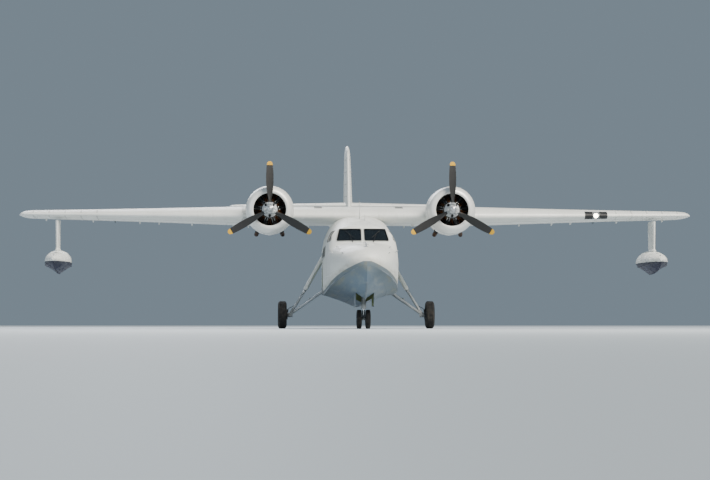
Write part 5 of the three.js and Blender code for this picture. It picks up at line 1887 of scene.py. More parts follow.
def makePropeller(label, x0):
    v, centre, body = propValues, vec(x0, at(propValues["station"]), layout["thrustZ"]), f"propeller_{label}"
    table = smoothTable(v["rows"])
    root, steps, fine = v["rows"][0][0], v["steps"], v["fine"]
    rings, tips, edges = [], [], []
    for k in list(range(steps - fine)) + [steps - fine + fine * sin(a) for a in spread(0, pi / 2, fine)]:
        r = lerp(root, v["rows"][-1][0], k / steps)
        chord, thick, angle, roundness = table(r)
        ring, turn = [], radians(angle)
        for c, d in circle(v["around"]):
            x = (c + 1) / 2  # 0 at the trailing edge, 1 at the leading edge
            foil = copysign(halfThickness(1.0, 1 - x) * thick, d) + thick * 0.12 * sin(pi * x)
            u, w = chord / 2 * c, lerp(foil, thick / 2 * d, roundness)
            ring.append(vec(u * cos(turn) - w * sin(turn), u * sin(turn) + w * cos(turn), r))
            edges.append(max(0.0, (c - 0.8) * 5) * (1 - roundness))
            tips.append(0.5 + (r - v["tip"]) * 4)
        rings.append(ring)
    blade = Bag().loft(rings)
    mesh = bpy.data.meshes.new(f"propellerBlades_{label}")
    mesh.from_pydata([tuple(p) for p in blade.verts], [], blade.faces)
    piece = keep(keep(makeObject(mesh.name, mesh, paints["blade"]), "tip", tips), "edge", edges)
    cleaned(mesh)
    shadeSmooth(mesh, 50)
    ringed(piece, "blade", v["blades"], centre, body=body, replaces=body)

    Bag(1, centre).spin(v["dome"], 48).make(f"propellerDome_{label}", "bare", 35, body)
    socket = Bag(1, vec())
    socket.rods(28, ([0.079, 0.079, 0.07], (0, 0, 0.1), (0, 0, 0.19), (0, 0, 0.2)),
                (0.086, (0, 0, 0.165), (0, 0, 0.185)), (0.068, (0, 0, 0.2), (0, 0, 0.235)))
    for x in (-0.09, 0.09):
        socket.box((x - 0.014, -0.02, 0.11), (x + 0.014, 0.02, 0.2), 0.004)
    socket.box((0.02, -0.145, 0.13), (0.1, -0.07, 0.19), 0.012, Matrix.Rotation(radians(20), 4, "Y"))  # counterweight
    repeated(socket, f"bladeSockets_{label}", v["blades"], centre, "steel", body=body)
    bolt = Bag(1, vec()).tube([(0, -0.126, 0.111), (0, -0.112, 0.111)], 0.006, 6)
    repeated(bolt, f"domeBolts_{label}", 12, centre, "engineSteel", body=body)


# Fillets where the wing meets the hull and the nacelles

filletValues = {"hull": ((6.0, 9.62), 0.16), "nacelle": ((6.0, 8.25), 0.12), "steps": 36, "arc": 8, "clear": 1.262}


def fillet(bag, ends, radius, body, out, way):
    # A hollow curve between the wing's skin, above (way 1) or below it (-1), and a body that runs into it as t goes
    # from 0 to 1
    v, rings = filletValues, []
    for k, s in enumerate(spread(*ends, v["steps"])):
        def buried(t):
            p = body(s, t)
            return (p.z - wingHeight(s, p.x, way)) * way < 0

        if buried(0.0) or not buried(1.0):
            continue
        start = halved(0.0, 1.0, buried, 24)
        corner = body(s, start)
        reach = radius * max(sin(pi * k / v["steps"]), 0.02) ** 0.4
        if s > layout["wingHinge"][0] - 0.1:
            reach = min(reach, v["clear"] - abs(corner.x))
        while start > 0.01 and (body(s, start) - corner).length < reach:
            start -= 0.01
        a, x = body(s, start), corner.x + out * reach
        b = vec(x, corner.y, wingHeight(s, x, way))
        arc = [a * (1 - q) ** 2 + corner * 2 * q * (1 - q) + b * q * q for q in spread(0, 1, v["arc"])]
        rings.append(arc + [corner + (corner * 2 - a - b) * 0.08])
    bag.loft(rings)


def makeFillets(label, side, x0):
    root, pod = Bag(), Bag()
    fillet(root, *filletValues["hull"], lambda s, t: hullShape.point(s, 2 + 0.95 * t, side), side, -1)
    root.make(f"wingRootFillet_{label}", "white", 50)
    for out in bothWays:
        for way in bothWays:
            fillet(pod, *filletValues["nacelle"],
                   lambda s, t: nacellePoint(x0, s, pi / 2 * (1 - out) + out * way * pi / 2 * (1 - t)), out, way)
    pod.make(f"nacelleFillets_{label}", "nacelle", 50)


for label, side in sides:
    engineX = side * layout["engineX"]
    makeNacelle(label, engineX)
    makeFillets(label, side, engineX)
    makeCowl(label, engineX)
    makeEngine(label, engineX)
    makePropeller(label, engineX)
print("engines ready")

# Wing floats and their pylons

floatRows = [
    (5.8, 2.41, 2.44, 0.03, 2.47, 0.05, 2.52, 2.0),
    (5.9, 2.33, 2.41, 0.1, 2.46, 0.118, 2.56, 2.0),
    (6.15, 2.2, 2.37, 0.22, 2.44, 0.24, 2.62, 2.0),
    (6.8, 2.05, 2.29, 0.37, 2.4, 0.39, 2.74, 2.1),
    (7.7, 1.99, 2.25, 0.43, 2.38, 0.445, 2.82, 2.2),
    (8.3, 1.985, 2.25, 0.43, 2.38, 0.445, 2.83, 2.2, "corner"),
    (8.306, 2.05, 2.28, 0.425, 2.38, 0.445, 2.83, 2.2, "corner"),
    (9.1, 2.16, 2.33, 0.31, 2.4, 0.35, 2.77, 2.1),
    (9.6, 2.28, 2.375, 0.16, 2.425, 0.195, 2.665, 2.0),
    (9.9, 2.38, 2.42, 0.06, 2.45, 0.08, 2.58, 2.0),
]

floatValues = {
    "spacing": 0.07, "seams": (6.5, 7.1, 7.7, 8.6, 9.2),
    # heights of the pylon's sections, closer together where it flares into the float
    "pylon": [2.66, 2.84, 2.86, 2.9, 2.96] + spread(3.05, 3.55, 6) + [3.62, 3.66, 3.69, 3.71, 3.76, 3.9],
    "flare": (0.9, 2.8, 0.055),
    "pylonBands": (2.95, 3.3, 3.62),     # heights of its rivet rows round it
    "pylonStraps": (8, 20, 34, 46),      # points of its outline that carry a strap
    "hatches": (6.6, 8.9, 9.3),
}

# Height, station of the leading edge, chord and thickness
pylonTable = smoothTable([(2.65, 7.25, 1.15, 0.13), (3.4, 7.21, 1.25, 0.15), (4.085, 7.17, 1.35, 0.17)])


def pylonRing(x0, z, grow=0.0):
    lead, chord, thick = pylonTable(z)
    points = Foil(chord * 0.75, chord * 0.25, thick / chord).points("whole")
    return [vec(x0 + p[1] * (1 + grow), at(lead + chord * 0.75) + p[0] * (1 + grow * 0.15), z) for p in points]


def makeFloat(label, x0):
    v, shape = floatValues, Boat(floatRows, x0)
    params = spread(0, 1, 6)[:-1] + spread(1, 2, 5)[:-1] + spread(2, 3, 14)
    skin = Bag().loft([shape.ring(s, params) for s in shape.stations(v["spacing"])])
    skin.make(f"floatSkin_{label}", "float", 32, replaces=f"float_{label}")

    trim, rows = Bag(), []
    around = spread(0.04, 0.96, 6) + spread(1.05, 1.95, 6) + spread(2.02, 2.99, 14)
    chine = ((0, 0.008), (0.02, 0.004), (0.018, -0.008), (-0.02, -0.01))
    for way in bothWays:
        lines = [([shape.on(s, u, way) for u in around], 0.035) for s in v["seams"]]
        lines.append(([shape.on(s, 2.0, way) for s in spread(6.0, 9.8, 60)], 0.03))
        for line, width in lines:
            strip(trim, line, width, 0.003)
            rows.append(lifted(line, 0.003))
        rows.append([shape.on(s, 0.5, way) for s in spread(6.1, 8.28, 40)])
        trim.loft([[shape.point(s, 1.0, way) + vec(way * x, 0, z) for x, z in chine] for s in spread(5.95, 8.29, 50)])
    keel = ((-0.018, 0.008), (-0.018, -0.006), (0, -0.014), (0.018, -0.006), (0.018, 0.008))
    for first, last in ((5.9, 8.29), (8.32, 9.7)):
        trim.loft([[shape.point(s, 0.0) + vec(x, 0, z) for x, z in keel] for s in spread(first, last, 40)])
    trim.make(f"floatTrim_{label}", "float", 35)
    rivets(f"floatRivets_{label}", rows, "floatRivet", 0.055, 0.005)

    caps = Bag()
    for s in v["hatches"]:
        top = shape.point(s, 3.0)
        caps.stack(top, (0, 0, 1), 24, (-0.01, 0.055), (0.008, 0.055), (0.011, 0.045))
        caps.stack(top, (0, 0, 1), 6, (0.008, 0.012), (0.02, 0.012))
    nose, eye = shape.point(6.05, 3.0), ((-0.03, -0.01), (-0.03, 0.045), (0.04, 0.045), (0.04, -0.01))
    caps.tube([nose + vec(0, y, z) for y, z in eye], 0.009, 10)
    caps.make(f"floatFittings_{label}", "bare")

    height, middle, reach = v["flare"]
    flare = [height * exp(-((z - middle) / reach) ** 2) if z < 3.2 else 0.0 for z in v["pylon"]]
    pylon = Bag().loft([pylonRing(x0, z, grow) for z, grow in zip(v["pylon"], flare)])
    pylon.make(f"floatPylonSkin_{label}", "white", replaces=f"float_pylon_{label}")

    def flanks(points):
        return [(p, vec(copysign(1, p.x - x0))) for p in points]

    bands, rows = Bag(), []
    for z in v["pylonBands"]:
        line = flanks(pylonRing(x0, z))
        rows += [line[2:26], line[28:51]]
    for k in v["pylonStraps"]:
        rows.append(flanks([pylonRing(x0, z)[k] for z in spread(2.92, 3.68, 14)]))
        strip(bands, rows[-1], 0.03, 0.002)
    bands.make(f"pylonStraps_{label}", "seam", 30)
    rivets(f"pylonRivets_{label}", rows, "white", 0.05, 0.005, 0.003)


for label, side in sides:
    makeFloat(label, side * layout["floatX"])
print("floats ready")

# Undercarriage

gearValues = {
    # place out, station, the tyre's radius and width, the rim's radius, the hub's and the grooves in the tread
    "main": (2.7, 8.35, 0.5037, 0.32, 0.255, 0.085, (0.44, 0.22, 0.0, -0.22, -0.44)),
    "nose": (0.15, 2.6, 0.3259, 0.17, 0.165, 0.055, (0.36, 0.0, -0.36)),
    # the tyre's side, as shares of its depth and of its half width, and one groove
    "tyre": ((0, 0.72), (0.06, 0.8), (0.16, 0.92), (0.32, 0.985), (0.5, 1), (0.66, 0.975), (0.8, 0.9), (0.9, 0.78),
             (0.965, 0.66), (1, 0.52)),
    "groove": ((0, 0.008), (0.007, 0.005), (0.007, -0.005), (0, -0.008)),
    # bolts, holes and valves on the rims: number, first angle, distance from the axle, both ends, radius and sides
    "mainBolts": ((8, 0, 0.125, 0.015, 0.057, 0.011, 6), (8, 0, 0.178, 0.036, 0.04, 0.03, 18),
                  (2, 0.4, 0.215, 0.08, 0.125, 0.006, 8)),
    "noseBolts": ((6, 0, 0.082, 0.01, 0.032, 0.008, 6), (1, pi / 2, 0.13, 0.03, 0.065, 0.005, 8)),
    "door": (1.66, 0.745, 2.89, 1.23, 0.298, 0.318),   # its corners, inner and outer face
    "doorHinges": (1.8, 2.05, 2.5, 2.75),
}


def makeWheel(kind, label, side, body):
    v = gearValues
    x, s, radius, width, bead, hub, grooves = v[kind]
    h, centre = width / 2, vec(side * x, at(s), radius)
    half = [(bead - 0.004, 0.6 * h)] + [(lerp(bead, radius, a), b * h) for a, b in v["tyre"]]
    crown = [(radius - deep, h * g + d) for g in grooves for deep, d in v["groove"]]
    tyre = half + crown + [(r, -d) for r, d in half[::-1]]
    Bag().spin(tyre + tyre[:1], 72, "X", centre).make(f"{kind}Tyre_{label}", "tyre", 35, body, f"{kind}_tyre_{label}")

    half = [(0, 0.62), (hub * 0.55, 0.62), (hub * 0.6, 0.56), (hub, 0.54), (hub * 1.06, 0.3), (bead * 0.62, 0.2),
            (bead * 0.8, 0.24), (bead * 0.9, 0.42), (bead * 0.94, 0.66), (bead * 0.965, 0.745), (bead + 0.008, 0.755),
            (bead + 0.008, 0.7), (bead - 0.003, 0.66), (bead - 0.01, 0.5)]
    rim = [(r, side * h * d) for r, d in half] + [(r, -side * h * d) for r, d in half[::-1]]
    Bag().spin(rim, 60, "X", centre).make(f"{kind}Rim_{label}", "rim", 35, body, f"{kind}_rim_{label}")

    bolts = Bag(side, centre)
    for count, first, away, low, high, r, around in v[kind + "Bolts"]:
        for c, d in circle(count, first):
            bolts.tube([(low, away * c, away * d), (high, away * c, away * d)], r, around)
    bolts.make(f"{kind}RimBolts_{label}", "darkSteel", 40, body)


def makeMainLeg(label, side):
    _, station, z = gearValues["main"][:3]
    leg, oleo, rod, brake, hose = (Bag(side, vec(0, at(station), 0)) for _ in range(5))
    axle, out, shoes = (0, 0, z), (side, 0, 0), Bag()
    leg.rods(20, (0.044, (2.4, 0, z), (2.6, 0, z)), (0.042, (2.6, 0, z), (2.822, 0, z)),
             ([0.066, 0.07, 0.06], (1.9, 0, 1.37), (1.84, 0, 1.46), (1.82, 0, 1.49)))
    leg.stack(axle, out, 6, (2.8, 0.052), (2.812, 0.052), (2.814, 0.06), (2.84, 0.056))
    leg.stack(axle, out, 28, (2.32, 0.078), (2.335, 0.088), (2.485, 0.088), (2.5, 0.078))
    leg.tube([(2.4, 0, z + 0.03), (2.36, 0, z + 0.11), (1.84, 0, 1.46)], [0.074, 0.052, 0.052], 22)
    leg.tube([(1.7, -0.27, 1.06), (1.7, 0.27, 1.06)], 0.03, 16)
    for way in bothWays:
        a, b = way * 0.52, way * 0.27
        leg.rods(20, ([0.06, 0.046, 0.046, 0.04], (2.42, a * 0.06, z + 0.01), (2.36, a * 0.09, z + 0.05),
                      (1.2, a * 0.94, 1.372), (1.12, a, 1.43)))
        leg.rods(18, (0.056, (1.16, a * 1.08, 1.38), (1.16, a * 0.9, 1.42)),
                 (0.056, (1.72, b * 0.94, 1.045), (1.68, b * 1.04, 1.075)))
        p, n = sidePoint(station + a, 1.43, side)
        shoes.box(p - n * 0.02 - vec(0, 0.09, 0.08), p + n * 0.035 + vec(0, 0.09, 0.08), 0.012)
    p, n = sidePoint(station, 2.6, side)
    shoes.box(p - n * 0.02 - vec(0, 0.12, 0.12), p + n * 0.03 + vec(0, 0.12, 0.16), 0.012)
    leg.make(f"mainLegTubes_{label}", "steel", replaces=f"main_leg_{label}")
    shoes.make(f"legShoes_{label}", "steel", 35)

    a, b = leg.where((1.88, 0, 1.4)), leg.where((1.15, 0, 2.72))
    oleo.stack(a, b - a, 28, (0, 0.055), (0.02, 0.07), (0.06, 0.084), (0.13, 0.084), (0.14, 0.078), (0.6, 0.078),
               (0.61, 0.084), (0.66, 0.084), (0.67, 0.078), (1, 0.078))
    oleo.stack(a - vec(y=0.088), b - a, 14, (0.3, 0.02), (0.5, 0.02)).make(f"mainOleo_{label}", "white")
    rod.tube([(1.93, 0, 1.328), (1.842, 0, 1.47)], 0.0565, 28).make(f"mainOleoRod_{label}", "chrome", 50)

    brake.stack(axle, out, 40, (2.505, 0.17), (2.53, 0.17)).stack(axle, out, 40, (2.53, 0.152), (2.545, 0.152))
    brake.box((2.48, -0.05, z + 0.1), (2.54, 0.05, z + 0.2), 0.012)
    brake.rods(10, *((0.011, (2.475, y, z + 0.16), (2.55, y, z + 0.16)) for y in (-0.03, 0, 0.03)))
    brake.make(f"brakeUnit_{label}", "darkSteel")
    hose.tube([(2.5, 0.03, z + 0.19), (2.44, 0.07, z + 0.25), (2.35, 0.075, z + 0.29), (2.28, 0.07, z + 0.33),
               (2.16, 0.062, z + 0.45), (1.96, 0.06, z + 0.76), (1.9, 0.09, z + 0.86), (1.84, 0.1, 1.5),
               (1.62, 0.095, 1.92), (1.34, 0.095, 2.42)], 0.011, 10)
    for t in (0.3, 0.62, 0.9):
        x, high = lerp(2.36, 1.93, t), lerp(z + 0.11, z + 0.8, t)
        hose.tube([(x, 0.02, high - 0.012), (x, 0.065, high + 0.012)], 0.016, 10)
    hose.make(f"brakeHose_{label}", "rubber", 50)


def makeNoseLeg():
    _, s, z = gearValues["nose"][:3]
    leg, fork, foot, up = Bag(), Bag(), (0, s, 0), (0, 0, 1)
    leg.stack(foot, up, 32, (0.78, 0.09), (0.8, 0.095), (0.84, 0.095), (0.85, 0.085))
    leg.stack(foot, up, 32, (0.85, 0.07), (1.05, 0.07), (1.06, 0.08), (1.12, 0.08), (1.13, 0.07), (1.45, 0.07),
              (1.46, 0.078), (1.52, 0.078), (1.53, 0.07), (1.6996, 0.07))
    leg.rods(20, (0.032, (0, s + 0.05, 0.99), (0, 1.86, 1.655)), (0.05, (-0.06, s, 1), (0.06, s, 1)),
             (0.04, (-0.27, s, 1.6), (0.27, s, 1.6)))
    leg.tube([(-0.075, 1.85, 1.65), (0.075, 1.85, 1.65)], 0.028, 16)
    leg.tube([(0.1, s + 0.06, 1.2), (0.1, 2, 1.64)], 0.022, 14)
    leg.tube([(0.1, s + 0.06, 1.2), (0.04, s + 0.02, 1.17)], 0.02)
    leg.box((-0.06, 1.8, 1.62), (0.06, 1.9, 1.6996), 0.01)
    fork.stack(foot, up, 28, (z - 0.02, 0.062), (z + 0.06, 0.062), (z + 0.08, 0.05), (0.69, 0.05))
    fork.stack(foot, up, 32, (0.69, 0.084), (0.7, 0.092), (0.77, 0.092), (0.779, 0.084))
    fork.tube([(-0.21, s, z), (0.21, s, z)], 0.029, 22)
    fork.box((-0.04, s - 0.15, z - 0.035), (0.04, s, z + 0.035), 0.006)
    fork.tube([(-0.043, s - 0.115, z), (0.043, s - 0.115, z)], 0.017, 16)
    fork.tube([(-0.04, s + 0.18, 0.565), (0.04, s + 0.18, 0.565)], 0.018)
    for way in bothWays:
        x = way * 0.03
        leg.box((way * 0.29 - 0.02, s - 0.08, 1.52), (way * 0.29 + 0.02, s + 0.08, 1.698), 0.008)
        leg.tube([(way * 0.05, s, 1.1), (way * 0.24, s, 1.585)], 0.018)
        fork.stack((0, s, z), (way, 0, 0), 6, (0.213, 0.038), (0.216, 0.042), (0.228, 0.042), (0.23, 0.034))
        fork.rods(10, (0.014, (x, s + 0.069, 0.44), (x * 0.4, s + 0.18, 0.565)),
                  (0.014, (x, s + 0.144, 0.565), (x * 0.4, s + 0.075, 0.7)))
    leg.make("noseLegTubes", "steel", replaces="nose_leg")
    fork.make("noseForkTubes", "steel", 40, "nose_steering", "nose_fork")
    Bag().tube([(0, s, 0.46), (0, s, 0.688)], 0.0505, 32).make("noseOleoRod", "chrome", 50, "nose_steering")
    hose = Bag().tube([(0.06, s + 0.06, 0.83), (0.09, s + 0.075, 0.95), (0.09, s + 0.075, 1.15), (0.085, s + 0.07, 1.4),
                       (0.12, s + 0.05, 1.66)], 0.009, 10)
    hose.make("steeringHose", "rubber", 50)


def makeNoseDoor(label, side):
    front, low, back, high, near, far = gearValues["door"]
    corners = outline(rectangle(front, low, back, high), 0.05)
    middle = sum(corners, Vector((0, 0))) / len(corners)
    rings = [[(x, *(middle + (p - middle) * size)) for p in corners]
             for x, size in ((near, 0.985), (near + 0.006, 1), (far - 0.003, 1), (far, 0.985))]
    Bag(side).loft(rings).make(f"noseDoorPanel_{label}", "chine", 35, replaces=f"nose_door_{label}")
    ribs, hinge = Bag(), Bag(side)
    for s in spread(1.8, 2.75, 5):
        ribs.box((side * near - 0.012, s - 0.012, 0.78), (side * near + 0.004, s + 0.012, 1.2), 0.003)
    for z in (0.85, 1.05):
        ribs.box((side * near - 0.01, 1.7, z - 0.012), (side * near + 0.004, 2.85, z + 0.012), 0.003)
    ribs.tube([(side * (near - 0.012), 2.3, 1.0), (side * 0.2, 2.3, 1.45), (side * 0.1, 2.3, 1.69)], 0.012, 10)
    ribs.make(f"noseDoorRibs_{label}", "primer", 35)
    for s in gearValues["doorHinges"]:
        skin = hullShape.point(s, min(0.31 / hullShape.section(s).chineHalf, 1)).z
        hinge.tube([(0.306, s - 0.05, 1.19), (0.306, s + 0.05, 1.19)], 0.014)
        hinge.tube([(0.306, s, 1.19), (0.322, s, max(skin, 1.2) + 0.03)], 0.016, 10)
    hinge.make(f"noseDoorHinges_{label}", "steel")


for label, side in sides:
    makeWheel("main", label, side, f"main_wheel_{label}")
    makeWheel("nose", label, side, "nose_wheels")
    makeMainLeg(label, side)
    makeNoseDoor(label, side)
makeNoseLeg()
print("undercarriage ready")

# Cockpit

cockpitValues = {
    "deck": (3.03, 4.65, 1.98),
    # station, foot and top of each section of the board, its half width, then station and height of the hood
    "board": ((3.04, 2.5, 2.93), (3.2, 2.48, 2.935), (3.315, 2.46, 2.94)), "half": 0.92,
    "hood": ((3.0, 2.925), (3.2, 2.946), (3.37, 2.95)),
    "face": 3.32, "dial": 0.041, "seatX": 0.52,
    # columns of dials from each seat's middle and from the board's, rows from the top, and the outer pair's height
    "dials": ((-0.2, -0.1, 0.0, 0.1, 0.2), (-0.15, -0.05, 0.05, 0.15), (2.86, 2.76, 2.66, 2.56), 2.65),
    "knobs": ((-0.24, -0.08, 0.0, 0.08, 0.24), (-0.12, -0.06, 0.0, 0.06, 0.12), 2.5),
    "levers": (-0.1, -0.06, -0.02, 0.02, 0.06, 0.1),
    "rim": (0.15, 0.13, 125),   # a control wheel's half width, half height and the reach of its horns
}


def insideWidth(s, z, gap=0.003):
    return hullShape.point(s, hullShape.widthAt(s, z)).x - hullValues["wall"] - gap


def makeDeck():
    first, last, top = cockpitValues["deck"]
    deck, rings = Bag(), []
    for s in spread(first, last, 10):
        low, high = insideWidth(s, 1.66), insideWidth(s, top)
        rings.append([(-low, s, 1.6535), (low, s, 1.6535), (high, s, top - 0.02), (high, s, top), (-high, s, top),
                      (-high, s, top - 0.02)])
    deck.loft(rings)
    for x in (-0.72, -0.32, 0.32, 0.72):
        deck.box((x - 0.018, 3.5, top), (x + 0.018, 4.5, top + 0.022), 0.004)
    for s in spread(3.2, 4.55, 10):
        deck.box((-0.26, s - 0.006, top), (0.26, s + 0.006, top + 0.006), 0.002)
    deck.make("cockpitDeck", "deck", 30)


def makePanel():
    v = cockpitValues
    board, rings, hood, face, r = Bag(), [], [], v["face"], v["dial"]
    for s, foot, top in v["board"]:
        low, high = (min(v["half"], insideWidth(s, z)) for z in (foot, top))
        rings.append([(-low, s, foot), (low, s, foot), (high, s, top), (-high, s, top)])
    for s, z in v["hood"]:
        wide, arc = min(0.96, insideWidth(s, z)), [(k, pi / 2 * k / 8) for k in range(-8, 9)]
        hood.append([(wide * sin(a), s + (0.03 if abs(k) < 7 else 0), z + 0.012 * cos(a)) for k, a in arc]
                    + [(wide * sin(a), s, z - 0.012) for _, a in arc[::-1]])
    board.loft(rings).loft(hood).box((-0.17, 3.2, 2.0), (0.17, 3.42, 2.5), 0.02).make("instrumentPanel", "black", 30)

    bezels, marks, knobs, x0 = Bag(), Bag(), Bag(), v["seatX"]
    outer, inner, heights, low = v["dials"]
    spots = [(way * x0 + dx, z) for way in (-1, 1) for dx in outer for z in heights[:2]]
    spots += [(dx, z) for dx in inner for z in heights]
    spots += [(way * x0 + dx, low) for way in (-1, 1) for dx in (-0.16, 0.16)]
    tick, needle = (Bag(1, vec(y=at(face))).box(*corners)
                    for corners in (((-0.0012, 0.001, r * 0.66), (0.0012, 0.002, r * 0.84)),
                                    ((-0.0016, 0.003, -r * 0.15), (0.0016, 0.004, r * 0.68))))
    for i, (x, z) in enumerate(spots):
        bezels.spin([(r - 0.006, 0.0), (r - 0.005, 0.011), (r, 0.013), (r + 0.003, 0.008), (r + 0.003, 0.0),
                     (r - 0.006, 0.0)], 20, "Y", (x, face, z))
        marks.arms(tick, [2 * pi * k / 12 for k in range(12)], vec(x, 0, z)).arms(needle, [-2.4 * i], vec(x, 0, z))
    outer, inner, z = v["knobs"]
    for x in [way * x0 + dx for way in bothWays for dx in outer] + list(inner):
        knobs.tube([(x, face, z), (x, face + 0.02, z)], 0.009, 10)
    bezels.make("dialBezels", "engineSteel")
    # the marks' material glows a little: painted light, not a lamp
    marks.make("dialMarks", "dial", 0)
    knobs.make("panelKnobs", "grip")


def makeControls():
    # Columns, wheels and pedals, and the levers that hang from the roof
    v, controls, grips = cockpitValues, Bag(), Bag()
    wide, high, reach = v["rim"]
    for way in bothWays:
        x = way * v["seatX"]
        controls.tube([(x, 3.33, 2.52), (x, 3.55, 2.56)], 0.02, 16).tube([(x, 3.545, 2.56), (x, 3.57, 2.565)], 0.04, 18)
        grips.tube([(x + wide * sin(a), 3.565, 2.585 - high * cos(a))
                    for a in map(radians, range(-reach, reach + 1, 10))], 0.0135)
        for a in (-1.14, 1.14):
            controls.tube([(x, 3.56, 2.56), (x + wide * sin(a), 3.565, 2.585 - high * cos(a))], 0.01, 10)
        for side in (x - 0.11, x + 0.11):
            controls.tube([(side, 3.3, 2.06), (side, 3.36, 2.18)], 0.012, 10)
            controls.box((side - 0.05, 3.35, 2.13), (side + 0.05, 3.37, 2.25), 0.004,
                         Matrix.Rotation(radians(-18), 4, "X"))
    controls.box((-0.15, 3.86, 3.4), (0.15, 4.12, 3.475), 0.02)
    for k, x in enumerate(v["levers"]):
        z = 3.25 + 0.01 * (k % 3)
        controls.tube([(x, 3.96, 3.41), (x, 3.9, z)], 0.006, 8)
        grips.tube([(x, 3.903, z + 0.012), (x, 3.9, z), (x, 3.897, z - 0.014)], [0.013, 0.016, 0.01])
    controls.make("cockpitControls", "darkSteel")
    grips.make("controlGrips", "grip", 45)


padValues = {
    # stations and heights, and the way that the stitched side faces
    "seatCushion": ((3.7, 4.22), (2.335, 2.455), (0, 0, 1)),
    "seatBack": ((4.14, 4.235), (2.46, 3.1), (0, -1, 0)),
    "half": 0.24, "channels": 5, "groove": 0.01, "stitch": 0.012,
    "shrink": 0.013, "voxel": 0.015, "pressure": 4.0, "frames": 20, "cap": 0.02, "piping": 0.006,
}


def swellPad(name, low, high, face):
    # Cut small, swollen by cloth under pressure, then stitched down in channels across the face
    v = padValues
    inset = Vector((v["shrink"],) * 3)
    pad = Bag().box(low + inset, high - inset, 0.016).piece(name, "seat", 80)
    remesh = pad.modifiers.new("remesh", "REMESH")
    remesh.mode, remesh.voxel_size, remesh.use_smooth_shade = "VOXEL", v["voxel"], True
    evaluated(pad)
    cloth = pad.modifiers.new("cloth", "CLOTH")
    cloth.settings.use_pressure, cloth.settings.uniform_pressure_force = True, v["pressure"]
    cloth.settings.effector_weights.gravity = 0
    for frame in range(1, v["frames"] + 1):
        bpy.context.scene.frame_set(frame)
    swollen = [p.co.copy() for p in pad.evaluated_get(bpy.context.evaluated_depsgraph_get()).data.vertices]
    pad.modifiers.remove(cloth)
    bpy.context.scene.frame_set(1)
    for point, place in zip(pad.data.vertices, swollen):
        way = place - point.co
        point.co += way * min(1, v["cap"] / max(way.length, 1e-6))
    middle, normals = (low + high) / 2, [p.normal.dot(face) for p in pad.data.vertices]
    seams = [2 * k / (v["channels"] + 1) - 1 for k in range(1, v["channels"] + 1)]
    for point, normal in zip(pad.data.vertices, normals):
        near = min(abs((point.co.x - middle.x) / v["half"] - seam) for seam in seams)
        point.co -= face * v["groove"] * max(normal, 0) * exp(-(near * v["half"] / v["stitch"]) ** 2)
    finer = pad.modifiers.new("finer", "SUBSURF")
    finer.levels = finer.render_levels = 1
    return evaluated(pad)


def seamLine(pad, middle, up):
    # Where a seam runs round a pad: the points furthest out at this height in its thickness
    points = []
    for c, s in circle(72):
        way = vec(c) + up * s
        _, place, normal, _ = pad.ray_cast(middle + way, -way)
        points.append(place + normal * 0.001)
    return points + points[:2]


def makeSeat(label, side):
    v, x = padValues, side * cockpitValues["seatX"]
    piping, shell, belts = Bag(), Bag(), Bag()
    for name in ("seatCushion", "seatBack"):
        (front, back), (foot, top), face = v[name]
        low, high, face = vec(x - v["half"], at(front), foot), vec(x + v["half"], at(back), top), Vector(face)
        pad = swellPad(f"{name}_{label}", low, high, face)
        bpy.context.view_layer.update()
        thick = abs((high - low).dot(face)) / 2 - v["shrink"]
        for share in (-0.7, 0.7):
            seam = seamLine(pad, (low + high) / 2 + face * thick * share, vec(y=face.z, z=-face.y))
            piping.tube(seam, v["piping"], 8)
        done(pad, "seat", replaces=f"seat_{label}" if name == "seatCushion" else "")
    piping.make(f"seatPiping_{label}", "strap", 60)

    shell.box((x - 0.22, 4.235, 2.36), (x + 0.22, 4.262, 3.08), 0.012)
    shell.box((x - 0.235, 3.72, 2.305), (x + 0.235, 4.25, 2.335), 0.012)
    for dx in (-0.19, 0.19):
        out, arm = x + dx, x + dx * 1.3
        shell.rods(12, *((0.016, (out, s, 1.985), (x + dx * 0.98, s, 2.31)) for s in (3.79, 4.11)))
        shell.rods(12, (0.018, (out, 3.76, 2), (out, 4.14, 2)),
                   (0.02, (arm, 4.24, 2.62), (arm, 4, 2.66), (arm, 3.85, 2.66)))
        shell.tube([(out, 3.79, 2.02), (out, 4.11, 2.28)], 0.011, 10)
    shell.make(f"seatFrame_{label}", "steel", 35)

    for dx in (-0.1, 0.1):
        line = [(vec(x + dx, at(4.1), z), (0, -1, 0)) for z in (3.09, 2.95, 2.75, 2.56)]
        line += [(vec(x + dx * 1.2, at(4.04), 2.472), (0, -0.6, 0.8)), (vec(x + dx * 1.5, at(3.97), 2.467), (0, 0, 1))]
        strip(belts, line, 0.045, 0.004)
    line = [(vec(x + dx, at(3.98), 2.468 - 0.12 * max(0, abs(dx) - 0.2)), (0, 0, 1)) for dx in spread(-0.24, 0.24, 10)]
    strip(belts, line, 0.048, 0.005)
    belts.box((x - 0.03, 3.955, 2.47), (x + 0.03, 4.005, 2.482), 0.004).make(f"seatBelts_{label}", "strap")


makeDeck()
makePanel()
makeControls()
for label, side in sides:
    makeSeat(label, side)
print("cockpit ready")

# Cabin, wheel boxes and the nose bay

cabinValues = {
    "ribs": (4.9, 0.62, 12, 0.035, 0.0225),   # first station, spacing, number, depth and half width
    "bulkhead": (12.11, 12.14),
    # how far the ribs stay from the middle of a window, of the door, whose station comes first, and of a wheel well
    "windowClear": 0.265, "doorClear": (10.75, 0.5), "wellClear": 0.66,
    "boards": (4.75, 11.95),
    "wheelBox": (0.83, 0.64, 2.47),           # inner face, half length and top
}


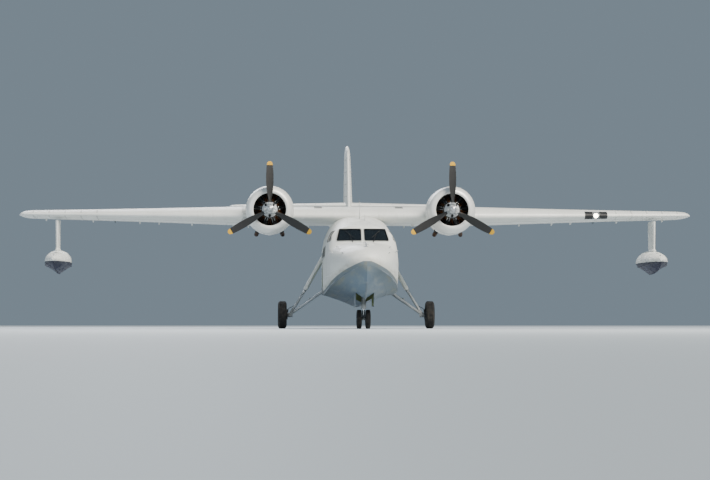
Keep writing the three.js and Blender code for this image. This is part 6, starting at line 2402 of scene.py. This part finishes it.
def makeCabin():
    v, wall, ribs, boards = cabinValues, hullValues["wall"], Bag(), Bag()
    first, spacing, count, deep, w = v["ribs"]
    start, (doorway, beside) = hullValues["floor"] + 0.03, v["doorClear"]
    for label, side in sides:
        for s in (first + spacing * k for k in range(count)):
            apart = [(doorway, beside)] if side > 0 else []
            apart += [(window, v["windowClear"]) for window in windowValues["cabin"][label]]
            if any(abs(s - place) < clear for place, clear in apart + [(hullValues["well"][0], v["wellClear"])]):
                continue
            rings = []
            for u in spread(hullShape.widthAt(s, start), 2.99, 26):
                outer, inner = (hullShape.point(s, u, side, inset) for inset in (wall - 0.002, wall + deep))
                rings.append([outer - vec(y=w), outer + vec(y=w), inner + vec(y=w * 0.7), inner - vec(y=w * 0.7)])
            ribs.loft(rings)
        for u in (2.55, 2.8):
            ribs.loft([[hullShape.point(s, u, side, wall + 0.012) + vec(x, 0, z)
                        for x, z in rectangle(-0.012, -0.012, 0.012, 0.012)] for s in spread(4.8, 12.05, 40)])
    ribs.make("cabinRibs", "cabin", 35)

    for x in spread(-0.72, 0.72, 8):
        boards.box((x - 0.085, v["boards"][0], 1.6525), (x + 0.085, v["boards"][1], 1.668), 0.003)
    for x in (-0.34, 0.34):
        boards.box((x - 0.02, 4.85, 1.668), (x + 0.02, 11.9, 1.676), 0.002)
    boards.make("cabinFloor", "deck", 30)

    first, last = v["bulkhead"]
    bulkhead = Bag().loft([innerRing(s, wall + inset, 0.001)
                           for s, inset in ((first - 0.012, 0.012), (first, 0.001), (last, 0.001))])
    for z in (1.95, 2.45, 2.95, 3.35):
        x = insideWidth(12.0, z) - 0.06
        bulkhead.box((-x, first - 0.03, z - 0.02), (x, first - 0.008, z + 0.02), 0.004)
    for x in (-0.55, 0.55):
        bulkhead.box((x - 0.02, first - 0.032, 1.72), (x + 0.02, first - 0.008, 3.3), 0.004)
    bulkhead.loft([[(x * size, first - d, 2.385 + (z - 2.385) * size)
                    for x, z in outline(rectangle(-0.34, 1.72, 0.34, 3.05), 0.2, 6)]
                   for size, d in ((1.0, 0.005), (1.0, 0.034), (0.97, 0.04))])
    bulkhead.tube([(0.27, first - 0.045, 2.3), (0.27, first - 0.075, 2.3), (0.2, first - 0.075, 2.3)], 0.01, 10)
    bulkhead.make("aftBulkhead", "cabin", 30, replaces="aft_bulkhead")


def makeWell(label, side):
    x0, half, top = cabinValues["wheelBox"]
    station, z, radius, inner = hullValues["well"]
    box = Bag(side).box((x0, station - half, 1.6525), (insideWidth(station, 2.3, -0.02), station + half, top), 0.03)
    box = box.piece(f"wheelBox_{label}", "cabin", 35)
    cutter = Bag(side).tube([(inner, station, z), (1.4, station, z)], radius, 48).piece("boxCutter", "primer")
    done(boolean(box, [cutter], smooth=35), "cabin")
    centre = vec(side * inner, at(station), z)
    fittings, lip, reach = Bag(side, centre), Bag(), radius * 0.97
    for c, d in circle(12):
        fittings.tube([(-0.004, 0.12 * c, 0.12 * d), (0.016, reach * c, reach * d)], 0.012, 8)
    fittings.tube([(-0.01, 0, 0), (0.03, 0, 0)], 0.13, 28)
    strip(fittings, [(centre + vec(side * 0.285, c * (radius - 0.002), d * (radius - 0.002)), (0, -c, -d))
                     for c, d in circle(60)], 0.03, 0.012, close=True)
    fittings.make(f"wellFittings_{label}", "primer", 35)
    line = [sidePoint(station + c * (radius + 0.03), z + d * (radius + 0.03), side) for c, d in circle(72)]
    strip(lip, line, 0.055, 0.006, close=True)
    lip.make(f"wellLip_{label}", "hull", 35)
    rivets(f"wellLipRivets_{label}", [lifted(line + line[:1], 0.006)], "lipRivet", 0.05)


def makeNoseBay():
    half, front, back, top = hullValues["noseBay"]
    bay = Bag()
    for s in spread(front + 0.1, back - 0.08, 6):
        bay.box((-half + 0.004, s - 0.012, top - 0.045), (half - 0.004, s + 0.012, top + 0.004), 0.004)
        for x in (0.02 - half, half - 0.02):
            bay.box((x - 0.016, s - 0.012, 1.24), (x + 0.016, s + 0.012, top - 0.02), 0.004)
    bay.rods(10, *((0.012, (x, front + 0.02, 1.6), (x, back - 0.02, 1.6)) for x in (-0.22, 0.22)))
    bay.make("noseBayFrames", "primer", 35)


makeCabin()
for label, side in sides:
    makeWell(label, side)
makeNoseBay()
print("cabin ready")

# Deck fittings, aerials, wipers and lamps on the hull

fittingValues = {
    "hatch": (1.42, 0.3),
    "lid": ((1.1, -0.006), (1.09333, 0.01), (1, 0.014), (0.98667, 0.022), (0.9, 0.034), (0.5, 0.042),
            (0.066667, 0.044)),
    "bitt": 0.72, "cleats": (0.95, 12.6), "rails": (1.85, 2.6),
    # place out, station, height of the foot, height, rake, chords, thicknesses, steps and points round
    "masts": ((0.0, 5.35, -0.02, 0.62, 0.1, (0.16, 0.07), (0.05, 0.022), 8, 18),
              (0.16, 4.95, -0.03, 0.24, 0.11, (0.2, 0.1), (0.03, 0.012), 7, 16),
              (0.16, 11.3, -0.03, 0.3, 0.11, (0.2, 0.1), (0.03, 0.012), 7, 16),
              (0.0, 13.2, 3.72, 0.26, 0.11, (0.2, 0.1), (0.03, 0.012), 7, 16)),
    "wire": (16.3, 7.29, 0.16, 0.003),   # the end's station and height, sag and radius
    "roofHatches": ((3.95, 4.55, 0.34), (10.45, 11.05, 0.32)),
    "roofBeacon": 10.1, "walkway": (1.45, 0.3),
}


def deckPoint(x, s, lift=0.0):
    _, _, _, sideZ, half, top, power = hullShape.section(s)
    share = min(abs(x) / half, 0.999)
    return vec(x, at(s), sideZ + (top - sideZ) * (1 - share**power) ** (1 / power) + lift)


def makeBowHatch():
    station, radius = fittingValues["hatch"]
    hatch = Bag().loft([[deckPoint(r * radius * c, station + r * radius * d, lift) for c, d in circle(48)]
                        for r, lift in fittingValues["lid"]])
    hatch.make("bowHatch", "hull", 35)
    r = radius + 0.015
    rivets("bowHatchScrews", [[(deckPoint(r * c, station + r * d, 0.012), (0, 0, 1))
                               for c, d in circle(48) + [(1, 0)]]], "bare", 0.06)


def makeDeckFittings():
    v, deck, fore = fittingValues, Bag(), vec(y=1)
    station, radius = v["hatch"]
    for x in (-0.1, 0.1):
        p = deckPoint(x, station + radius + 0.02, 0.02)
        deck.box(p - vec(0.03, 0.035, 0.02), p + vec(0.03, 0.035, 0.016), 0.008)
    handle = ((-0.07, 0.035), (-0.06, 0.065), (0.06, 0.065), (0.07, 0.035))
    deck.tube([deckPoint(x, station - 0.16, lift) for x, lift in handle], 0.009)
    base = deckPoint(0.0, v["bitt"])
    deck.stack(base, (0, 0, 1), 28, (-0.01, 0.065), (0.012, 0.065))
    deck.stack(base, (0, 0, 1), 22, (0, 0.028), (0.11, 0.026), (0.12, 0.036), (0.135, 0.03))
    deck.tube([base + vec(-0.085, 0, 0.075), base + vec(0.085, 0, 0.075)], 0.012, 14)
    for side in bothWays:
        for s in v["cleats"]:
            p, n = hullShape.on(s, 2.35, side)
            for way in bothWays:
                deck.tube([p - n * 0.01 + fore * way * 0.05, p + n * 0.035 + fore * way * 0.05,
                           p + n * 0.045 + fore * way * 0.12], [0.014, 0.012, 0.008])
            deck.tube([p + n * 0.036 - fore * 0.06, p + n * 0.036 + fore * 0.06], 0.012)
        front, back = v["rails"]
        rail = ((front, -0.005), (front + 0.01, 0.045), (back - 0.01, 0.045), (back, -0.005))
        deck.tube([hullShape.on(s, 2.5, side, lift)[0] for s, lift in rail], 0.01)
    eye = [(0, 0.148 - 0.03 * c, 1.8 + 0.03 * d) for c, d in circle(20) + [(1, 0)]]
    deck.tube(eye, 0.008, 10, caps=False)
    deck.make("deckFittings", "bare")


def makeProbes():
    probes, wipers = Bag(), Bag()
    for side in bothWays:
        p, n = hullShape.on(2.55, 2.3, side)
        tip = p + n * 0.1
        probes.tube([p - n * 0.01, p + n * 0.06, tip - vec(y=0.03)], [0.02, 0.014, 0.012], 14)
        probes.tube([tip + vec(y=0.01), tip - vec(y=0.16), tip - vec(y=0.26)], [0.013, 0.013, 0.008], 14)
        pivot, up = facePoint(0.36, 2.972, side, 0.012)
        wipers.tube([pivot - up * 0.02, pivot + up * 0.03], 0.02, 14)
        wipers.tube([pivot + up * 0.022, facePoint(0.46, 3.24, side, 0.03)[0]], [0.009, 0.006], 8)
        wipers.tube([facePoint(lerp(0.3, 0.6, t), lerp(3.1, 3.365, t), side, 0.022)[0] for t in spread(0, 1, 6)],
                    0.0075, 8)
    probes.make("pitotHeads", "bare", 45)
    wipers.make("screenWipers", "grip", 45)


def makeAerials():
    v, masts, wire, tops = fittingValues, Bag(), Bag(), []
    for x, s, foot, high, rake, chords, thicks, steps, around in v["masts"]:
        foot = vec(x, at(s), foot if foot > 0 else hullShape.section(s).top + foot)
        masts.loft([oval(foot + vec(0, rake * t, high * t), vec(y=lerp(*chords, t) / 2), vec(lerp(*thicks, t) / 2),
                         around) for t in spread(0, 1, steps)])
        tops.append(foot + vec(0, rake, high - 0.015))
    masts.make("aerialMasts", "white")
    station, z, sag, radius = v["wire"]
    start, end = tops[0], vec(0, at(station), z)
    wire.tube([start.lerp(end, t) - vec(z=sag * sin(pi * t)) for t in spread(0, 1, 30)], radius, 6)
    for t in (0.015, 0.985):
        wire.tube([start.lerp(end, t + way * 0.006) - vec(z=0.006) for way in (-1, 1)], 0.013)
    wire.make("aerialWire", "darkSteel", 50)


def makeRoof():
    station, hatches, rows, walk = fittingValues["roofBeacon"], Bag(), [], Bag()
    z = hullShape.section(station).top
    lamp = Bag().spin([(0, 0.1), (0.022, 0.098), (0.05, 0.075), (0.06, 0.03), (0.06, 0.0), (0, 0.0)], 24, "Z",
                      (0, station, z + 0.01))
    lamp.make("roofBeacon", "redLens", 60)
    seats = Bag().spin([(0, 0.014), (0.075, 0.012), (0.085, -0.02), (0, -0.03)], 28, "Z", (0, station, z))
    seats.spin([(0, 0.012), (0.06, 0.01), (0.07, -0.02), (0, -0.03)], 28, "Z", (0, *tailValues["beacon"]))
    seats.make("beaconSeats", "seam", 45)

    for front, back, half in fittingValues["roofHatches"]:
        line = [(deckPoint(x, s), vec(0.3 * x, 0, 1).normalized())
                for x, s in outline(rectangle(-half, front, half, back), 0.1, 6)]
        strip(hatches, line, 0.045, 0.006, close=True)
        rows.append(lifted(line + line[:1], 0.006))
        p, handle = deckPoint(0.0, back - 0.1), ((-0.06, -0.004), (-0.055, 0.028), (0.055, 0.028), (0.06, -0.004))
        hatches.tube([p + vec(x, 0, dz) for x, dz in handle], 0.007, 10)
        for x in (-0.2, 0.2):
            q = deckPoint(x, front)
            hatches.box(q - vec(0.03, 0.03, 0.005), q + vec(0.03, 0.03, 0.014), 0.005)
    hatches.make("roofHatches", "hull", 35)
    rivets("roofHatchScrews", rows, "bare", 0.05, 0.005, 0.003)

    out, wide = fittingValues["walkway"]
    for side in bothWays:
        strip(walk, wing.chord(side, out, spread(0.1, 0.68, 24), 1), wide, 0.0025)
    walk.make("wingWalkways", "deck", 30)


makeBowHatch()
makeDeckFittings()
makeProbes()
makeAerials()
makeRoof()
print("fittings ready")
